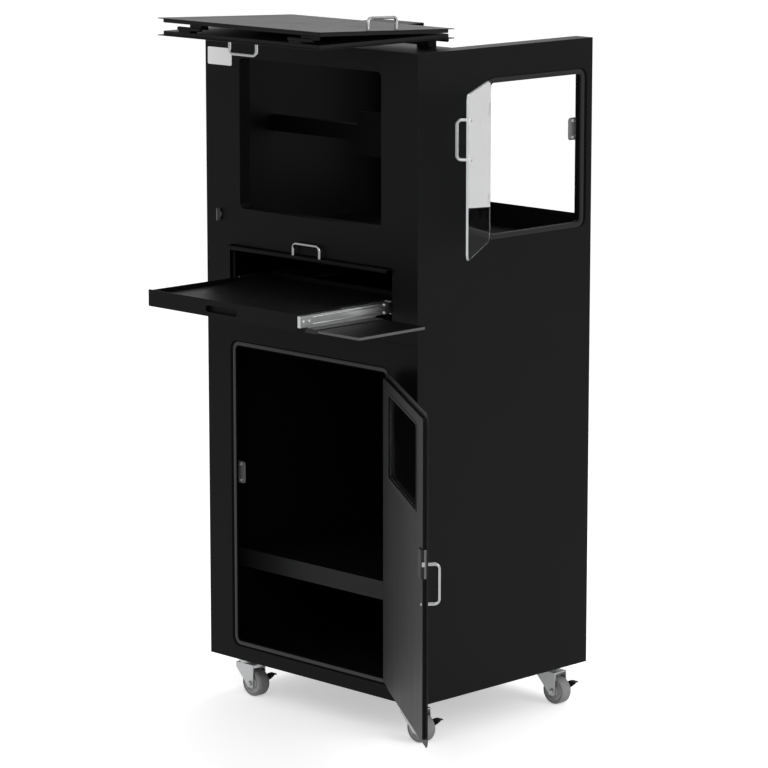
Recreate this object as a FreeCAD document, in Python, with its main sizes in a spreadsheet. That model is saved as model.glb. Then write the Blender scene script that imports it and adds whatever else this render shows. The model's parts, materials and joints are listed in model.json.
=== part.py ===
# Computer enclosure cabinet: two stacked sheet-metal modules on swivel casters.
# Frame: millimetres, +Z up, front faces -Y, origin at the centre of the base pan's underside.
import FreeCAD, Part
import os

import Sketcher
from FreeCAD import Placement, Rotation, Vector

doc = FreeCAD.newDocument("ComputerCabinet")
sheet = doc.addObject("Spreadsheet::Sheet", "Sizes")

DRIVING_SIZES = {
    # main boxes
    "cabinet_width": 812,
    "cabinet_depth": 670,
    "lower_height": 970,
    "upper_height": 763,
    "sheet_gauge": 2,
    "running_gap": 0.5,
    # lower bay
    "lower_open_width": 586,
    "lower_open_bottom": 54,
    "lower_open_head": 80,
    "panel_round": 15,
    "trim_width": 4,
    "trim_proud": 2,
    "shelf_top": 287,
    "shelf_lip": 52,
    "shelf_setback": 100,
    "caster_bar_width": 114,
    "caster_bar_gauge": 6,
    # monitor, keyboard and side openings
    "monitor_open_width": 544,
    "monitor_open_rise": 298,
    "monitor_open_head": 56,
    "shroud_depth": 38,
    "bay_open_width": 628,
    "bay_open_rise": 54,
    "bay_open_height": 143,
    "bay_round": 6,
    "side_open_setback": 267,
    "side_open_back": 43,
    "side_open_rise": 263,
    "side_open_head": 91,
    "deck_gap": 17,
    "bay_floor_drop": 4,
    "bay_floor_depth": 500,
    # monitor mount
    "rail_height": 44,
    "rail_depth": 22,
    "rail_setback": 238,
    "rail_rise": 502,
    "mount_plate": 120,
    "mount_pitch": 100,
    "mount_hole": 4.4,
    # doors
    "door_overlay": 7,
    "door_foot": 6,
    "door_gap": 2.5,
    "door_pan_inset": 14,
    "door_pan_depth": 10,
    "knuckle_radius": 5,
    "knuckle_length": 34,
    "pin_radius": 2.5,
    "pin_play": 0.05,
    "hinge_standoff": 4,
    "hinge_leaf": 30,
    "hinge_end_margin": 120,
    "door_open_angle": 145,
    "window_inset": 105,
    "window_width": 390,
    "window_height": 205,
    "window_drop": 52,
    "window_seat": 10,
    "pane_thickness": 4,
    "pane_gap": 1,
    "side_pane_thickness": 6,
    "side_open_angle": 145,
    # bow handles
    "handle_pitch": 101.6,
    "handle_rise": 36,
    "handle_rod": 4.35,
    "handle_bend": 12,
    "handle_inset": 24,
    "lower_handle_level": 462,
    "side_handle_rise": 296,
    "side_handle_inset": 50,
    # catch, strikes and front latch
    "catch_height": 74,
    "catch_depth": 5,
    "catch_width": 30,
    "catch_wrap": 1.5,
    "catch_lap": 4,
    "catch_level": 515,
    "bolt_height": 12,
    "bolt_width": 8,
    "strike_width": 41,
    "strike_height": 61,
    "strike_round": 8,
    "strike_setback": 28.5,
    "lower_strike_level": 526,
    "lower_strike_reveal": 3,
    "side_strike_rise": 254,
    "side_strike_reveal": 20,
    "strike_leg": 5,
    "strike_hole": 2.2,
    "strike_hole_inset": 15.5,
    "strike_hole_margin": 8,
    "pocket_inset": 21.5,
    "pocket_height": 35,
    "pocket_depth": 6,
    "latch_inset": 52,
    "latch_level": 1244,
    "latch_collar": 9,
    "latch_collar_rise": 3,
    "latch_wing_width": 5,
    "latch_wing_height": 33,
    "latch_wing_rise": 11,
    # folding hatch over the roof and the back
    "hatch_left_margin": 175,
    "hatch_right_margin": 60,
    "hatch_overlay": 10,
    "hatch_right_overlay": 29,
    "rear_leaf_length": 490,
    "roof_leaf_margin": 2,
    "leaf_skin": 2,
    "leaf_pan": 10,
    "leaf_pan_inset": 11,
    "leaf_round": 6,
    "roof_axis_setback": 174,
    "roof_axis_rise": 20,
    "leaf_edge_gap": 4,
    "leaf_seat": 1,
    "fold_axis_rise": 11,
    "fold_edge": 7,
    "fold_lap": 8,
    "fold_lean": 2.4,
    "hatch_hinge_length": 88,
    "hatch_hinge_margin": 78,
    "hatch_hinge_right_margin": 32,
    "hatch_hinge_depth": 26,
    # keyboard tray and its slides
    "tray_width": 547,
    "tray_depth": 440,
    "tray_reach": 319,
    "tray_rise": 56,
    "tray_lip": 12,
    "fascia_lap": 1,
    "fascia_height": 45,
    "slot_width": 121,
    "slot_height": 18,
    "slot_rise": 11,
    "cup_depth": 12,
    "slide_width": 13,
    "slide_height": 34,
    "slide_length": 430,
    "slide_wall": 1.5,
    "slide_play": 0.5,
    "slide_drop": 2,
    "slide_setback": 5,
    "bay_wall_rise": 2,
    # mouse board and its slide
    "carriage_length": 500,
    "carriage_front": 320,
    "board_thickness": 8,
    "board_gap": 3,
    "board_width": 197,
    "board_depth": 239,
    "board_overhang": 197,
    "board_front": 291,
    "board_round": 6,
    "guide_wall": 1.5,
    "guide_width": 44,
    "guide_gap": 1.5,
    # keyboard flap
    "flap_height": 74,
    "flap_proud": 16,
    "flap_head_gap": 3,
    "flap_rim": 9,
    "flap_side_gap": 3,
    "flap_skin": 2,
    "flap_rod": 4,
    "flap_axis_drop": 6,
    "flap_knuckle": 6.5,
    "flap_knuckle_length": 60,
    "arm_width": 5,
    "arm_depth": 60,
    "shoe_depth": 22,
    "shoe_width": 8,
    "track_height": 26,
    "track_depth": 180,
    "track_width": 10,
    # casters
    "caster_inset_x": 81.5,
    "caster_inset_y": 66,
    "caster_height": 116.5,
    "wheel_radius": 38,
    "wheel_width": 36,
    "wheel_hub": 16,
    "wheel_rim": 29,
    "wheel_recess": 5,
    "tyre_shoulder": 4,
    "wheel_bore": 5.08,
    "wheel_trail": 33,
    "axle_radius": 5,
    "caster_plate": 62,
    "caster_plate_gauge": 4,
    "caster_hole_pitch": 46,
    "caster_hole": 4.2,
    "race_radius": 24,
    "race_height": 20,
    "race_gap": 0.4,
    "king_pin_radius": 6,
    "fork_gauge": 3,
    "fork_gap": 3,
    "fork_back": 23,
    "fork_nose": 46,
    "fork_foot": 12,
    "lever_gauge": 3,
    "lever_boss": 9,
    "lever_reach": 46,
    "lever_rise": 26,
    "lever_lip": 13,
}

for row, (alias, number) in enumerate(DRIVING_SIZES.items(), start=1):
    sheet.set(f"A{row}", alias)
    sheet.set(f"B{row}", str(number))
    sheet.setAlias(f"B{row}", alias)
doc.recompute()


class Size:
    # A number together with the sheet expression that drives it.

    def __init__(self, text, value):
        self.text = text
        self.value = value

    def join(self, sign, other, value):
        return Size(f"({self.text} {sign} {other.text})", value)

    def __add__(self, other):
        other = as_size(other)
        return self.join("+", other, self.value + other.value)

    def __sub__(self, other):
        other = as_size(other)
        return self.join("-", other, self.value - other.value)

    def __mul__(self, other):
        other = as_size(other)
        return self.join("*", other, self.value * other.value)

    def __truediv__(self, other):
        other = as_size(other)
        return self.join("/", other, self.value / other.value)

    def __radd__(self, other):
        return as_size(other) + self

    def __rsub__(self, other):
        return as_size(other) - self

    def __rmul__(self, other):
        return as_size(other) * self

    def __neg__(self):
        return Size(f"(-{self.text})", -self.value)


def as_size(value):
    if isinstance(value, Size):
        return value
    return Size(f"({value})", value)


class Sheet:
    # Reads a driving size by its alias.

    def __getattr__(self, alias):
        return Size(f"Sizes.{alias}", DRIVING_SIZES[alias])


d = Sheet()
nodes = []
X_AXIS = Vector(1, 0, 0)
Y_AXIS = Vector(0, 1, 0)
Z_AXIS = Vector(0, 0, 1)
LAY_ALONG = {"x": Rotation(Y_AXIS, 90), "y": Rotation(X_AXIS, -90), "z": Rotation()}


def bind(obj, prop, size):
    obj.setExpression(prop, as_size(size).text)


def place(obj, at, turn=None):
    # turn is an axis and an angle in degrees
    rotation = Rotation(turn[0], as_size(turn[1]).value) if turn else obj.Placement.Rotation
    obj.Placement = Placement(Vector(*[as_size(value).value for value in at]), rotation)
    for letter, value in zip("xyz", at):
        bind(obj, f"Placement.Base.{letter}", value)
    if turn:
        bind(obj, "Placement.Rotation.Angle", turn[1])
    return obj


def keep(obj, label):
    obj.Label = label
    nodes.append(obj)
    return obj


def box(name, low, high):
    solid = doc.addObject("Part::Box", name)
    for prop, start, end in zip(("Length", "Width", "Height"), low, high):
        bind(solid, prop, as_size(end) - start)
    return place(solid, low)


def rod(name, along, start, radius, length):
    solid = doc.addObject("Part::Cylinder", name)
    bind(solid, "Radius", radius)
    bind(solid, "Height", length)
    solid.Placement = Placement(Vector(), LAY_ALONG[along])
    return place(solid, start)


def fuse(name, pieces):
    solid = doc.addObject("Part::MultiFuse", name)
    solid.Shapes = pieces
    solid.Refine = True
    return solid


def cut(name, base, tools):
    solid = doc.addObject("Part::Cut", name)
    solid.Base = base
    solid.Tool = tools[0] if len(tools) == 1 else fuse(f"{name}_tools", tools)
    return solid


def group(name, pieces):
    solids = doc.addObject("Part::Compound", name)
    solids.Links = pieces
    return solids


def draw_polygon(sketch, points):
    first = sketch.GeometryCount
    corners = [Vector(as_size(u).value, as_size(v).value, 0) for u, v in points]
    for start, end in zip(corners, corners[1:] + corners[:1]):
        sketch.addGeometry(Part.LineSegment(start, end), False)
    count = len(corners)
    for index in range(count):
        following = first + (index + 1) % count
        sketch.addConstraint(Sketcher.Constraint("Coincident", first + index, 2, following, 1))
    for index, (u, v) in enumerate(points):
        fix_point(sketch, first + index, 1, "DistanceX", u)
        fix_point(sketch, first + index, 1, "DistanceY", v)


def fix_point(sketch, edge, end, kind, size):
    number = sketch.addConstraint(Sketcher.Constraint(kind, -1, 1, edge, end, as_size(size).value))
    bind(sketch, f"Constraints[{number}]", size)


def draw_round_box(sketch, left, bottom, right, top, radius):
    u0, v0, u1, v1, r = [as_size(value).value for value in (left, bottom, right, top, radius)]
    first = sketch.GeometryCount
    lines = [((u0 + r, v0), (u1 - r, v0)), ((u1, v0 + r), (u1, v1 - r)),
             ((u1 - r, v1), (u0 + r, v1)), ((u0, v1 - r), (u0, v0 + r))]
    centres = [(u1 - r, v0 + r, 270), (u1 - r, v1 - r, 0), (u0 + r, v1 - r, 90), (u0 + r, v0 + r, 180)]
    for start, end in lines:
        sketch.addGeometry(Part.LineSegment(Vector(*start, 0), Vector(*end, 0)), False)
    for u, v, angle in centres:
        circle = Part.Circle(Vector(u, v, 0), Z_AXIS, r)
        begin = FreeCAD.Units.Quantity(angle, "deg").getValueAs("rad").Value
        quarter = FreeCAD.Units.Quantity(90, "deg").getValueAs("rad").Value
        sketch.addGeometry(Part.ArcOfCircle(circle, begin, begin + quarter), False)
    for index in range(4):
        line = first + index
        arc = first + 4 + index
        following = first + (index + 1) % 4
        sketch.addConstraint(Sketcher.Constraint("Tangent", line, 2, arc, 1))
        sketch.addConstraint(Sketcher.Constraint("Tangent", arc, 2, following, 1))
        sketch.addConstraint(Sketcher.Constraint("Vertical" if index % 2 else "Horizontal", line))
    for index in range(1, 4):
        sketch.addConstraint(Sketcher.Constraint("Equal", first + 4, first + 4 + index))
    number = sketch.addConstraint(Sketcher.Constraint("Radius", first + 4, r))
    bind(sketch, f"Constraints[{number}]", radius)
    fix_point(sketch, first, 1, "DistanceY", bottom)
    fix_point(sketch, first + 1, 1, "DistanceX", right)
    fix_point(sketch, first + 2, 1, "DistanceY", top)
    fix_point(sketch, first + 3, 1, "DistanceX", left)


def draw_circle(sketch, u, v, radius):
    number = sketch.addGeometry(Part.Circle(Vector(as_size(u).value, as_size(v).value, 0), Z_AXIS,
                                            as_size(radius).value), False)
    constraint = sketch.addConstraint(Sketcher.Constraint("Radius", number, as_size(radius).value))
    bind(sketch, f"Constraints[{constraint}]", radius)
    fix_point(sketch, number, 3, "DistanceX", u)
    fix_point(sketch, number, 3, "DistanceY", v)


DRAW = {"polygon": draw_polygon, "round_box": draw_round_box, "circle": draw_circle}


def new_sketch(body, plane, loops):
    sketch = body.newObject("Sketcher::SketchObject", f"{body.Name}_sketch")
    for feature in body.Origin.OriginFeatures:
        if feature.Role == plane:
            sketch.AttachmentSupport = [(feature, "")]
    sketch.MapMode = "FlatFace"
    for kind, *values in loops:
        DRAW[kind](sketch, *values)
    return sketch


def plate(name, plane, loops, thickness, at=(0, 0, 0), turn=None):
    # A padded sketch in X and Y, X and Z, or Y and Z. The pad grows along the third axis.
    body = doc.addObject("PartDesign::Body", name)
    pad = body.newObject("PartDesign::Pad", f"{name}_pad")
    pad.Profile = new_sketch(body, plane, loops)
    pad.Reversed = plane == "XZ_Plane"
    bind(pad, "Length", thickness)
    body.Tip = pad
    return place(body, at, turn)


def turned(name, points, at):
    # A profile in X and Y turned about the Y axis.
    body = doc.addObject("PartDesign::Body", name)
    turn = body.newObject("PartDesign::Revolution", f"{name}_turn")
    sketch = new_sketch(body, "XY_Plane", [("polygon", points)])
    turn.Profile = sketch
    turn.ReferenceAxis = (sketch, ["V_Axis"])
    turn.Angle = 360
    body.Tip = turn
    return place(body, at)


half_width = d.cabinet_width / 2
half_depth = d.cabinet_depth / 2
front = -half_depth
inner_front = front + d.sheet_gauge
inner_back = half_depth - d.sheet_gauge
inner_side = half_width - d.sheet_gauge
seam = d.lower_height
roof = seam + d.upper_height
lower_open_half = d.lower_open_width / 2
lower_open_top = d.lower_height - d.lower_open_head
lower_opening = ("round_box", -lower_open_half, d.lower_open_bottom, lower_open_half, lower_open_top,
                 d.panel_round)


def bow_handle(name, at, grip, rise):
    # Drawn on the origin with its grip along X, then turned to run along grip and to rise along rise.
    half = d.handle_pitch / 2
    straight = d.handle_rise - d.handle_rod - d.handle_bend
    pieces = []
    for side, sign in (("a", -1), ("b", 1)):
        foot = sign * half
        inner = sign * (half - d.handle_bend)
        pieces.append(rod(f"{name}_leg_{side}", "z", (foot, 0, 0), d.handle_rod, straight))
        bend = doc.addObject("Part::Torus", f"{name}_bend_{side}")
        bind(bend, "Radius1", d.handle_bend)
        bind(bend, "Radius2", d.handle_rod)
        bend.Angle3 = 90
        bend.Placement = Placement(Vector(), Rotation(X_AXIS, 90))
        if sign < 0:
            bend.Placement = Placement(Vector(), Rotation(Z_AXIS, 180) * Rotation(X_AXIS, 90))
        place(bend, (inner, 0, straight))
        pieces.append(bend)
    grip_start = -half + d.handle_bend
    pieces.append(rod(f"{name}_grip", "x", (grip_start, 0, straight + d.handle_bend), d.handle_rod,
                      d.handle_pitch - 2 * d.handle_bend))
    bow = fuse(name, pieces)
    bow.Placement = Placement(Vector(), Rotation(grip, rise.cross(grip), rise, "ZXY"))
    return place(bow, at)


def hung(label, pieces, swing):
    # One node made of pieces drawn around a hinge axis, set on that axis and swung open.
    return keep(place(group(f"{label}_hung", pieces), *swing), label)


# Lower module shell: its floor is a sheet between two flat bars that carry the casters
bar_edge = inner_back - d.caster_bar_width
base_floor = plate("base_floor", "XY_Plane",
                   [("polygon", [(-inner_side, -bar_edge), (inner_side, -bar_edge),
                                 (inner_side, bar_edge), (-inner_side, bar_edge)])], d.sheet_gauge)
front_bar = box("front_caster_bar", (-inner_side, inner_front, 0),
                (inner_side, -bar_edge, d.caster_bar_gauge))
rear_bar = box("rear_caster_bar", (-inner_side, bar_edge, 0),
               (inner_side, inner_back, d.caster_bar_gauge))
keep(group("base_pan", [base_floor, front_bar, rear_bar]), "base_pan")
keep(plate("lower_front_panel", "XZ_Plane",
           [("polygon", [(-half_width, 0), (half_width, 0), (half_width, d.lower_height),
                         (-half_width, d.lower_height)]), lower_opening],
           d.sheet_gauge, (0, front, 0)), "lower_front_panel")
for side, start in (("left", -half_width), ("right", inner_side)):
    keep(plate(f"lower_{side}_side", "YZ_Plane",
               [("polygon", [(inner_front, 0), (half_depth, 0), (half_depth, d.lower_height),
                             (inner_front, d.lower_height)])],
               d.sheet_gauge, (start, 0, 0)), f"lower_{side}_side")
keep(plate("lower_back_panel", "XZ_Plane",
           [("polygon", [(-inner_side, 0), (inner_side, 0), (inner_side, d.lower_height),
                         (-inner_side, d.lower_height)])],
           d.sheet_gauge, (0, inner_back, 0)), "lower_back_panel")
keep(plate("lower_deck", "XY_Plane",
           [("polygon", [(-inner_side, inner_front), (inner_side, inner_front),
                         (inner_side, inner_back), (-inner_side, inner_back)])],
           d.sheet_gauge, (0, 0, d.lower_height - d.sheet_gauge)), "lower_deck")

# Rubber edge trim pressed into the lower opening
trim_depth = d.sheet_gauge + 2 * d.trim_proud
keep(plate("lower_edge_trim", "XZ_Plane",
           [lower_opening,
            ("round_box", -lower_open_half + d.trim_width, d.lower_open_bottom + d.trim_width,
             lower_open_half - d.trim_width, lower_open_top - d.trim_width, d.panel_round - d.trim_width)],
           trim_depth, (0, front - d.trim_proud, 0)), "lower_edge_trim")

# Shelf with a turned-down front lip and turned-down side flanges
shelf_front = front + d.shelf_setback
shelf_low = d.shelf_top - d.shelf_lip
shelf_pieces = [
    box("shelf_top_sheet", (-inner_side, shelf_front, d.shelf_top - d.sheet_gauge),
        (inner_side, inner_back, d.shelf_top)),
    box("shelf_lip_sheet", (-inner_side, shelf_front, shelf_low),
        (inner_side, shelf_front + d.sheet_gauge, d.shelf_top)),
    box("shelf_left_flange", (-inner_side, shelf_front, shelf_low),
        (-inner_side + d.sheet_gauge, inner_back, d.shelf_top)),
    box("shelf_right_flange", (inner_side - d.sheet_gauge, shelf_front, shelf_low),
        (inner_side, inner_back, d.shelf_top)),
]
keep(fuse("printer_shelf", shelf_pieces), "printer_shelf")

# Upper module shell
monitor_half = d.monitor_open_width / 2
monitor_low = seam + d.monitor_open_rise
monitor_top = roof - d.monitor_open_head
bay_half = d.bay_open_width / 2
bay_low = seam + d.bay_open_rise
bay_top = bay_low + d.bay_open_height
side_front = front + d.side_open_setback
side_back = half_depth - d.side_open_back
side_low = seam + d.side_open_rise
side_top = roof - d.side_open_head
deck_low = bay_top + d.deck_gap
monitor_opening = ("round_box", -monitor_half, monitor_low, monitor_half, monitor_top, d.panel_round)
side_opening = ("round_box", side_front, side_low, side_back, side_top, d.panel_round)
keep(plate("upper_front_panel", "XZ_Plane",
           [("polygon", [(-half_width, d.lower_height), (half_width, d.lower_height), (half_width, roof),
                         (-half_width, roof)]),
            monitor_opening,
            ("round_box", -bay_half, bay_low, bay_half, bay_top, d.bay_round)],
           d.sheet_gauge, (0, front, 0)), "upper_front_panel")
side_outline = ("polygon", [(inner_front, d.lower_height), (half_depth, d.lower_height), (half_depth, roof),
                            (inner_front, roof)])
keep(plate("upper_left_side", "YZ_Plane", [side_outline], d.sheet_gauge, (-half_width, 0, 0)),
     "upper_left_side")
keep(plate("upper_right_side", "YZ_Plane", [side_outline, side_opening], d.sheet_gauge, (inner_side, 0, 0)),
     "upper_right_side")

# The hatch opening runs over the roof and down the back as one notch
hatch_left = -half_width + d.hatch_left_margin
hatch_right = half_width - d.hatch_right_margin
roof_axis_y = front + d.roof_axis_setback
roof_axis_z = roof + d.roof_axis_rise
hatch_front = roof_axis_y + d.leaf_edge_gap + d.hatch_overlay
roof_leaf_back = half_depth - d.roof_leaf_margin
fold_axis_y = roof_leaf_back - d.fold_edge
rear_leaf_top = roof + d.leaf_seat - d.fold_axis_rise + d.fold_lap
hatch_bottom = rear_leaf_top - d.rear_leaf_length + d.hatch_overlay
keep(plate("upper_back_panel", "XZ_Plane",
           [("polygon", [(-inner_side, d.lower_height), (inner_side, d.lower_height), (inner_side, roof),
                         (hatch_right, roof), (hatch_right, hatch_bottom), (hatch_left, hatch_bottom),
                         (hatch_left, roof), (-inner_side, roof)])],
           d.sheet_gauge, (0, inner_back, 0)), "upper_back_panel")
keep(plate("roof_panel", "XY_Plane",
           [("polygon", [(-inner_side, inner_front), (inner_side, inner_front), (inner_side, inner_back),
                         (hatch_right, inner_back), (hatch_right, hatch_front), (hatch_left, hatch_front),
                         (hatch_left, inner_back), (-inner_side, inner_back)])],
           d.sheet_gauge, (0, 0, roof - d.sheet_gauge)), "roof_panel")
keep(plate("printer_deck", "XY_Plane",
           [("polygon", [(-inner_side, inner_front), (inner_side, inner_front), (inner_side, inner_back),
                         (-inner_side, inner_back)])],
           d.sheet_gauge, (0, 0, deck_low)), "printer_deck")
keep(plate("monitor_shroud", "XZ_Plane",
           [("round_box", -monitor_half - d.sheet_gauge, monitor_low - d.sheet_gauge,
             monitor_half + d.sheet_gauge, monitor_top + d.sheet_gauge, d.panel_round + d.sheet_gauge),
            monitor_opening],
           d.shroud_depth, (0, inner_front, 0)), "monitor_shroud")
keep(plate("side_edge_trim", "YZ_Plane",
           [side_opening,
            ("round_box", side_front + d.trim_width, side_low + d.trim_width,
             side_back - d.trim_width, side_top - d.trim_width, d.panel_round - d.trim_width)],
           trim_depth, (inner_side - d.trim_proud, 0, 0)), "side_edge_trim")

# Monitor mount: a channel between the sides, open to the back, and a plate with a square of holes
rail_front = front + d.rail_setback
rail_level = seam + d.rail_rise
rail_low = rail_level - d.rail_height / 2
rail_high = rail_level + d.rail_height / 2
rail_pieces = [
    box("rail_web", (-inner_side, rail_front, rail_low), (inner_side, rail_front + d.sheet_gauge, rail_high)),
    box("rail_foot", (-inner_side, rail_front, rail_low),
        (inner_side, rail_front + d.rail_depth, rail_low + d.sheet_gauge)),
    box("rail_head", (-inner_side, rail_front, rail_high - d.sheet_gauge),
        (inner_side, rail_front + d.rail_depth, rail_high)),
]
keep(fuse("monitor_rail", rail_pieces), "monitor_rail")
half_plate = d.mount_plate / 2
half_pitch = d.mount_pitch / 2
plate_loops = [("round_box", -half_plate, -half_plate, half_plate, half_plate, d.bay_round)]
for sign_x in (-1, 1):
    for sign_z in (-1, 1):
        plate_loops.append(("circle", sign_x * half_pitch, sign_z * half_pitch, d.mount_hole / 2))
keep(plate("monitor_mount_plate", "XZ_Plane", plate_loops, d.sheet_gauge,
           (0, rail_front - d.sheet_gauge, rail_level)), "monitor_mount_plate")


def pin_hinge_fixed(name, start, leaf_low, leaf_high):
    # The fixed half of a barrel hinge along Z: a knuckle with its pin, and a leaf between two corners.
    knuckle = rod(f"{name}_knuckle", "z", (0, 0, start), d.knuckle_radius, d.knuckle_length)
    pin = rod(f"{name}_pin", "z", (0, 0, start), d.pin_radius, 2 * d.knuckle_length - d.pin_radius)
    leaf = box(f"{name}_leaf", (*leaf_low, start), (*leaf_high, start + d.knuckle_length))
    return fuse(name, [knuckle, pin, leaf])


def pin_hinge_moving(name, start, strap_low, strap_high):
    # The moving half, which turns on the pin above the fixed knuckle.
    low = start + d.knuckle_length + d.running_gap
    high = low + d.knuckle_length
    knuckle = rod(f"{name}_knuckle", "z", (0, 0, low), d.knuckle_radius, d.knuckle_length)
    strap = box(f"{name}_strap", (*strap_low, low), (*strap_high, high))
    bore = rod(f"{name}_bore", "z", (0, 0, low - 1), d.pin_radius + d.pin_play, d.knuckle_length + 2)
    return cut(name, fuse(f"{name}_solid", [knuckle, strap]), [bore])


# Lower door, hinged on the right, drawn closed around its hinge axis and then swung open
axis_offset = d.hinge_standoff + d.knuckle_radius
edge_offset = d.knuckle_radius + 1
door_width = d.lower_open_width + 2 * d.door_overlay
door_low = d.lower_open_bottom - d.door_overlay - d.door_foot
door_high = lower_open_top + d.door_overlay
lower_axis_x = door_width / 2 + edge_offset
lower_axis_y = front - axis_offset
lower_swing = ((lower_axis_x, lower_axis_y, 0), (Z_AXIS, d.door_open_angle))
door_inner = axis_offset - d.door_gap
door_outer = door_inner - d.sheet_gauge
door_right = -edge_offset
door_left = door_right - door_width
window_right = door_right - d.window_inset
window_left = window_right - d.window_width
window_high = door_high - d.window_drop
window_low = window_high - d.window_height
door_round = d.panel_round + d.door_overlay
pan_round = d.panel_round - d.trim_width
door_skin = plate("lower_door_skin", "XZ_Plane",
                  [("round_box", door_left, door_low, door_right, door_high, door_round),
                   ("round_box", window_left, window_low, window_right, window_high, d.panel_round)],
                  d.sheet_gauge, (0, door_outer, 0))
door_pan = plate("lower_door_pan", "XZ_Plane",
                 [("round_box", door_left + d.door_pan_inset, door_low + d.door_foot + d.door_pan_inset,
                   door_right - d.door_pan_inset, door_high - d.door_pan_inset, pan_round),
                  ("round_box", window_left - d.window_seat, window_low - d.window_seat,
                   window_right + d.window_seat, window_high + d.window_seat, d.panel_round)],
                 d.door_pan_depth, (0, door_inner, 0))
hung("lower_door_panel", [fuse("lower_door_sheet", [door_skin, door_pan])], lower_swing)
pane_reach = d.window_seat - d.pane_gap
door_pane = plate("lower_door_pane", "XZ_Plane",
                  [("round_box", window_left - pane_reach, window_low - pane_reach, window_right + pane_reach,
                    window_high + pane_reach, d.panel_round - d.pane_gap)],
                  d.pane_thickness, (0, door_inner, 0))
hung("lower_door_window", [door_pane], lower_swing)
lower_handle_at = (door_left + d.handle_inset, door_outer, d.lower_handle_level)
hung("lower_door_handle", [bow_handle("lower_bow", lower_handle_at, Z_AXIS, -Y_AXIS)], lower_swing)
pan_inner = door_inner + d.door_pan_depth
catch_left = door_left + d.door_pan_inset
catch_edge = catch_left - d.catch_wrap
catch_back = pan_inner + d.catch_depth
catch_low = d.catch_level - d.catch_height / 2
catch_high = d.catch_level + d.catch_height / 2
corner_front = pan_inner - d.catch_lap
bolt_front = pan_inner - d.catch_lap / 2 - d.bolt_width / 2
door_catch = fuse("lower_catch_body", [
    box("lower_catch_case", (catch_left, pan_inner, catch_low),
        (catch_left + d.catch_width, catch_back, catch_high)),
    box("lower_catch_corner", (catch_edge, corner_front, catch_low), (catch_left, catch_back, catch_high)),
    box("lower_catch_plate", (catch_left - d.catch_wrap / 2, door_inner, catch_low),
        (catch_left, corner_front, catch_high)),
    box("lower_catch_bolt", (catch_edge - d.running_gap, bolt_front, d.catch_level - d.bolt_height / 2),
        (catch_left, bolt_front + d.bolt_width, d.catch_level + d.bolt_height / 2))])
hung("lower_door_catch", [door_catch], lower_swing)
hinge_starts = {"low": door_low + d.door_foot + d.hinge_end_margin,
                "high": door_high - d.hinge_end_margin - 2 * d.knuckle_length}
strap_gauge = 3
lower_leaves = []
lower_straps = []
for place_name, start in hinge_starts.items():
    lower_leaves.append(pin_hinge_fixed(f"lower_leaf_{place_name}", start, (0, strap_gauge),
                                        (d.hinge_leaf, axis_offset)))
    lower_straps.append(pin_hinge_moving(f"lower_strap_{place_name}", start,
                                         (-d.hinge_leaf - edge_offset, door_outer - strap_gauge),
                                         (0, door_outer)))
hung("lower_hinge_straps", lower_straps, lower_swing)

# Side door: a clear pane hinged on the front jamb of the side opening, drawn closed and then swung open
side_axis_x = half_width + axis_offset
side_axis_y = side_front - d.door_overlay - edge_offset
side_swing = ((side_axis_x, side_axis_y, 0), (Z_AXIS, -d.side_open_angle))
pane_inner = -axis_offset + d.door_gap
pane_outer = pane_inner + d.side_pane_thickness
pane_width = side_back - side_front + 2 * d.door_overlay
pane_low = side_low - d.door_overlay
pane_high = side_top + d.door_overlay
pane_back = edge_offset + pane_width
side_pane = plate("side_pane", "YZ_Plane",
                  [("round_box", edge_offset, pane_low, pane_back, pane_high, door_round)],
                  d.side_pane_thickness, (pane_inner, 0, 0))
hung("side_door_pane", [side_pane], side_swing)
side_handle_at = (pane_outer, pane_back - d.side_handle_inset, side_low + d.side_handle_rise)
hung("side_door_handle", [bow_handle("side_bow", side_handle_at, Z_AXIS, X_AXIS)], side_swing)
side_starts = {"low": pane_low + d.hinge_end_margin / 2,
               "high": pane_high - d.hinge_end_margin / 2 - 2 * d.knuckle_length}
side_leaves = []
side_straps = []
for place_name, start in side_starts.items():
    side_leaves.append(pin_hinge_fixed(f"side_leaf_{place_name}", start, (-axis_offset, -d.hinge_leaf),
                                       (-strap_gauge, 0)))
    side_straps.append(pin_hinge_moving(f"side_strap_{place_name}", start, (pane_outer, 0),
                                        (pane_outer + strap_gauge, d.hinge_leaf + edge_offset)))
hung("side_hinge_straps", side_straps, side_swing)

# Folding hatch: the roof leaf turns on the roof and the rear leaf turns on the roof leaf's free edge.
# Both are drawn closed around their own axes. In the photo they lie folded forward over the roof.
leaf_left = hatch_left - d.hatch_overlay
leaf_right = hatch_right + d.hatch_right_overlay
leaf_middle = (leaf_left + leaf_right) / 2
roof_swing = ((0, roof_axis_y, roof_axis_z), (X_AXIS, as_size(180)))
fold_reach_y = fold_axis_y - roof_axis_y
fold_reach_z = d.roof_axis_rise - d.leaf_seat + d.fold_axis_rise
rear_swing = ((0, roof_axis_y - fold_reach_y, roof_axis_z + fold_reach_z), (X_AXIS, 90 - d.fold_lean))
leaf_inner_z = d.leaf_seat - d.roof_axis_rise
leaf_skin_z = leaf_inner_z + d.leaf_pan
leaf_outer_z = leaf_skin_z + d.leaf_skin
leaf_back = roof_leaf_back - roof_axis_y
roof_skin = plate("roof_leaf_skin", "XY_Plane",
                  [("round_box", leaf_left, d.leaf_edge_gap, leaf_right, leaf_back, d.leaf_round)],
                  d.leaf_skin, (0, 0, leaf_skin_z))
roof_pan = plate("roof_leaf_pan", "XY_Plane",
                 [("round_box", leaf_left + d.leaf_pan_inset, d.leaf_edge_gap + d.leaf_pan_inset,
                   leaf_right - d.leaf_pan_inset, leaf_back - d.leaf_pan_inset, d.leaf_round)],
                 d.leaf_pan, (0, 0, leaf_inner_z))
hung("roof_leaf_panel", [fuse("roof_leaf_sheet", [roof_skin, roof_pan])], roof_swing)
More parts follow.
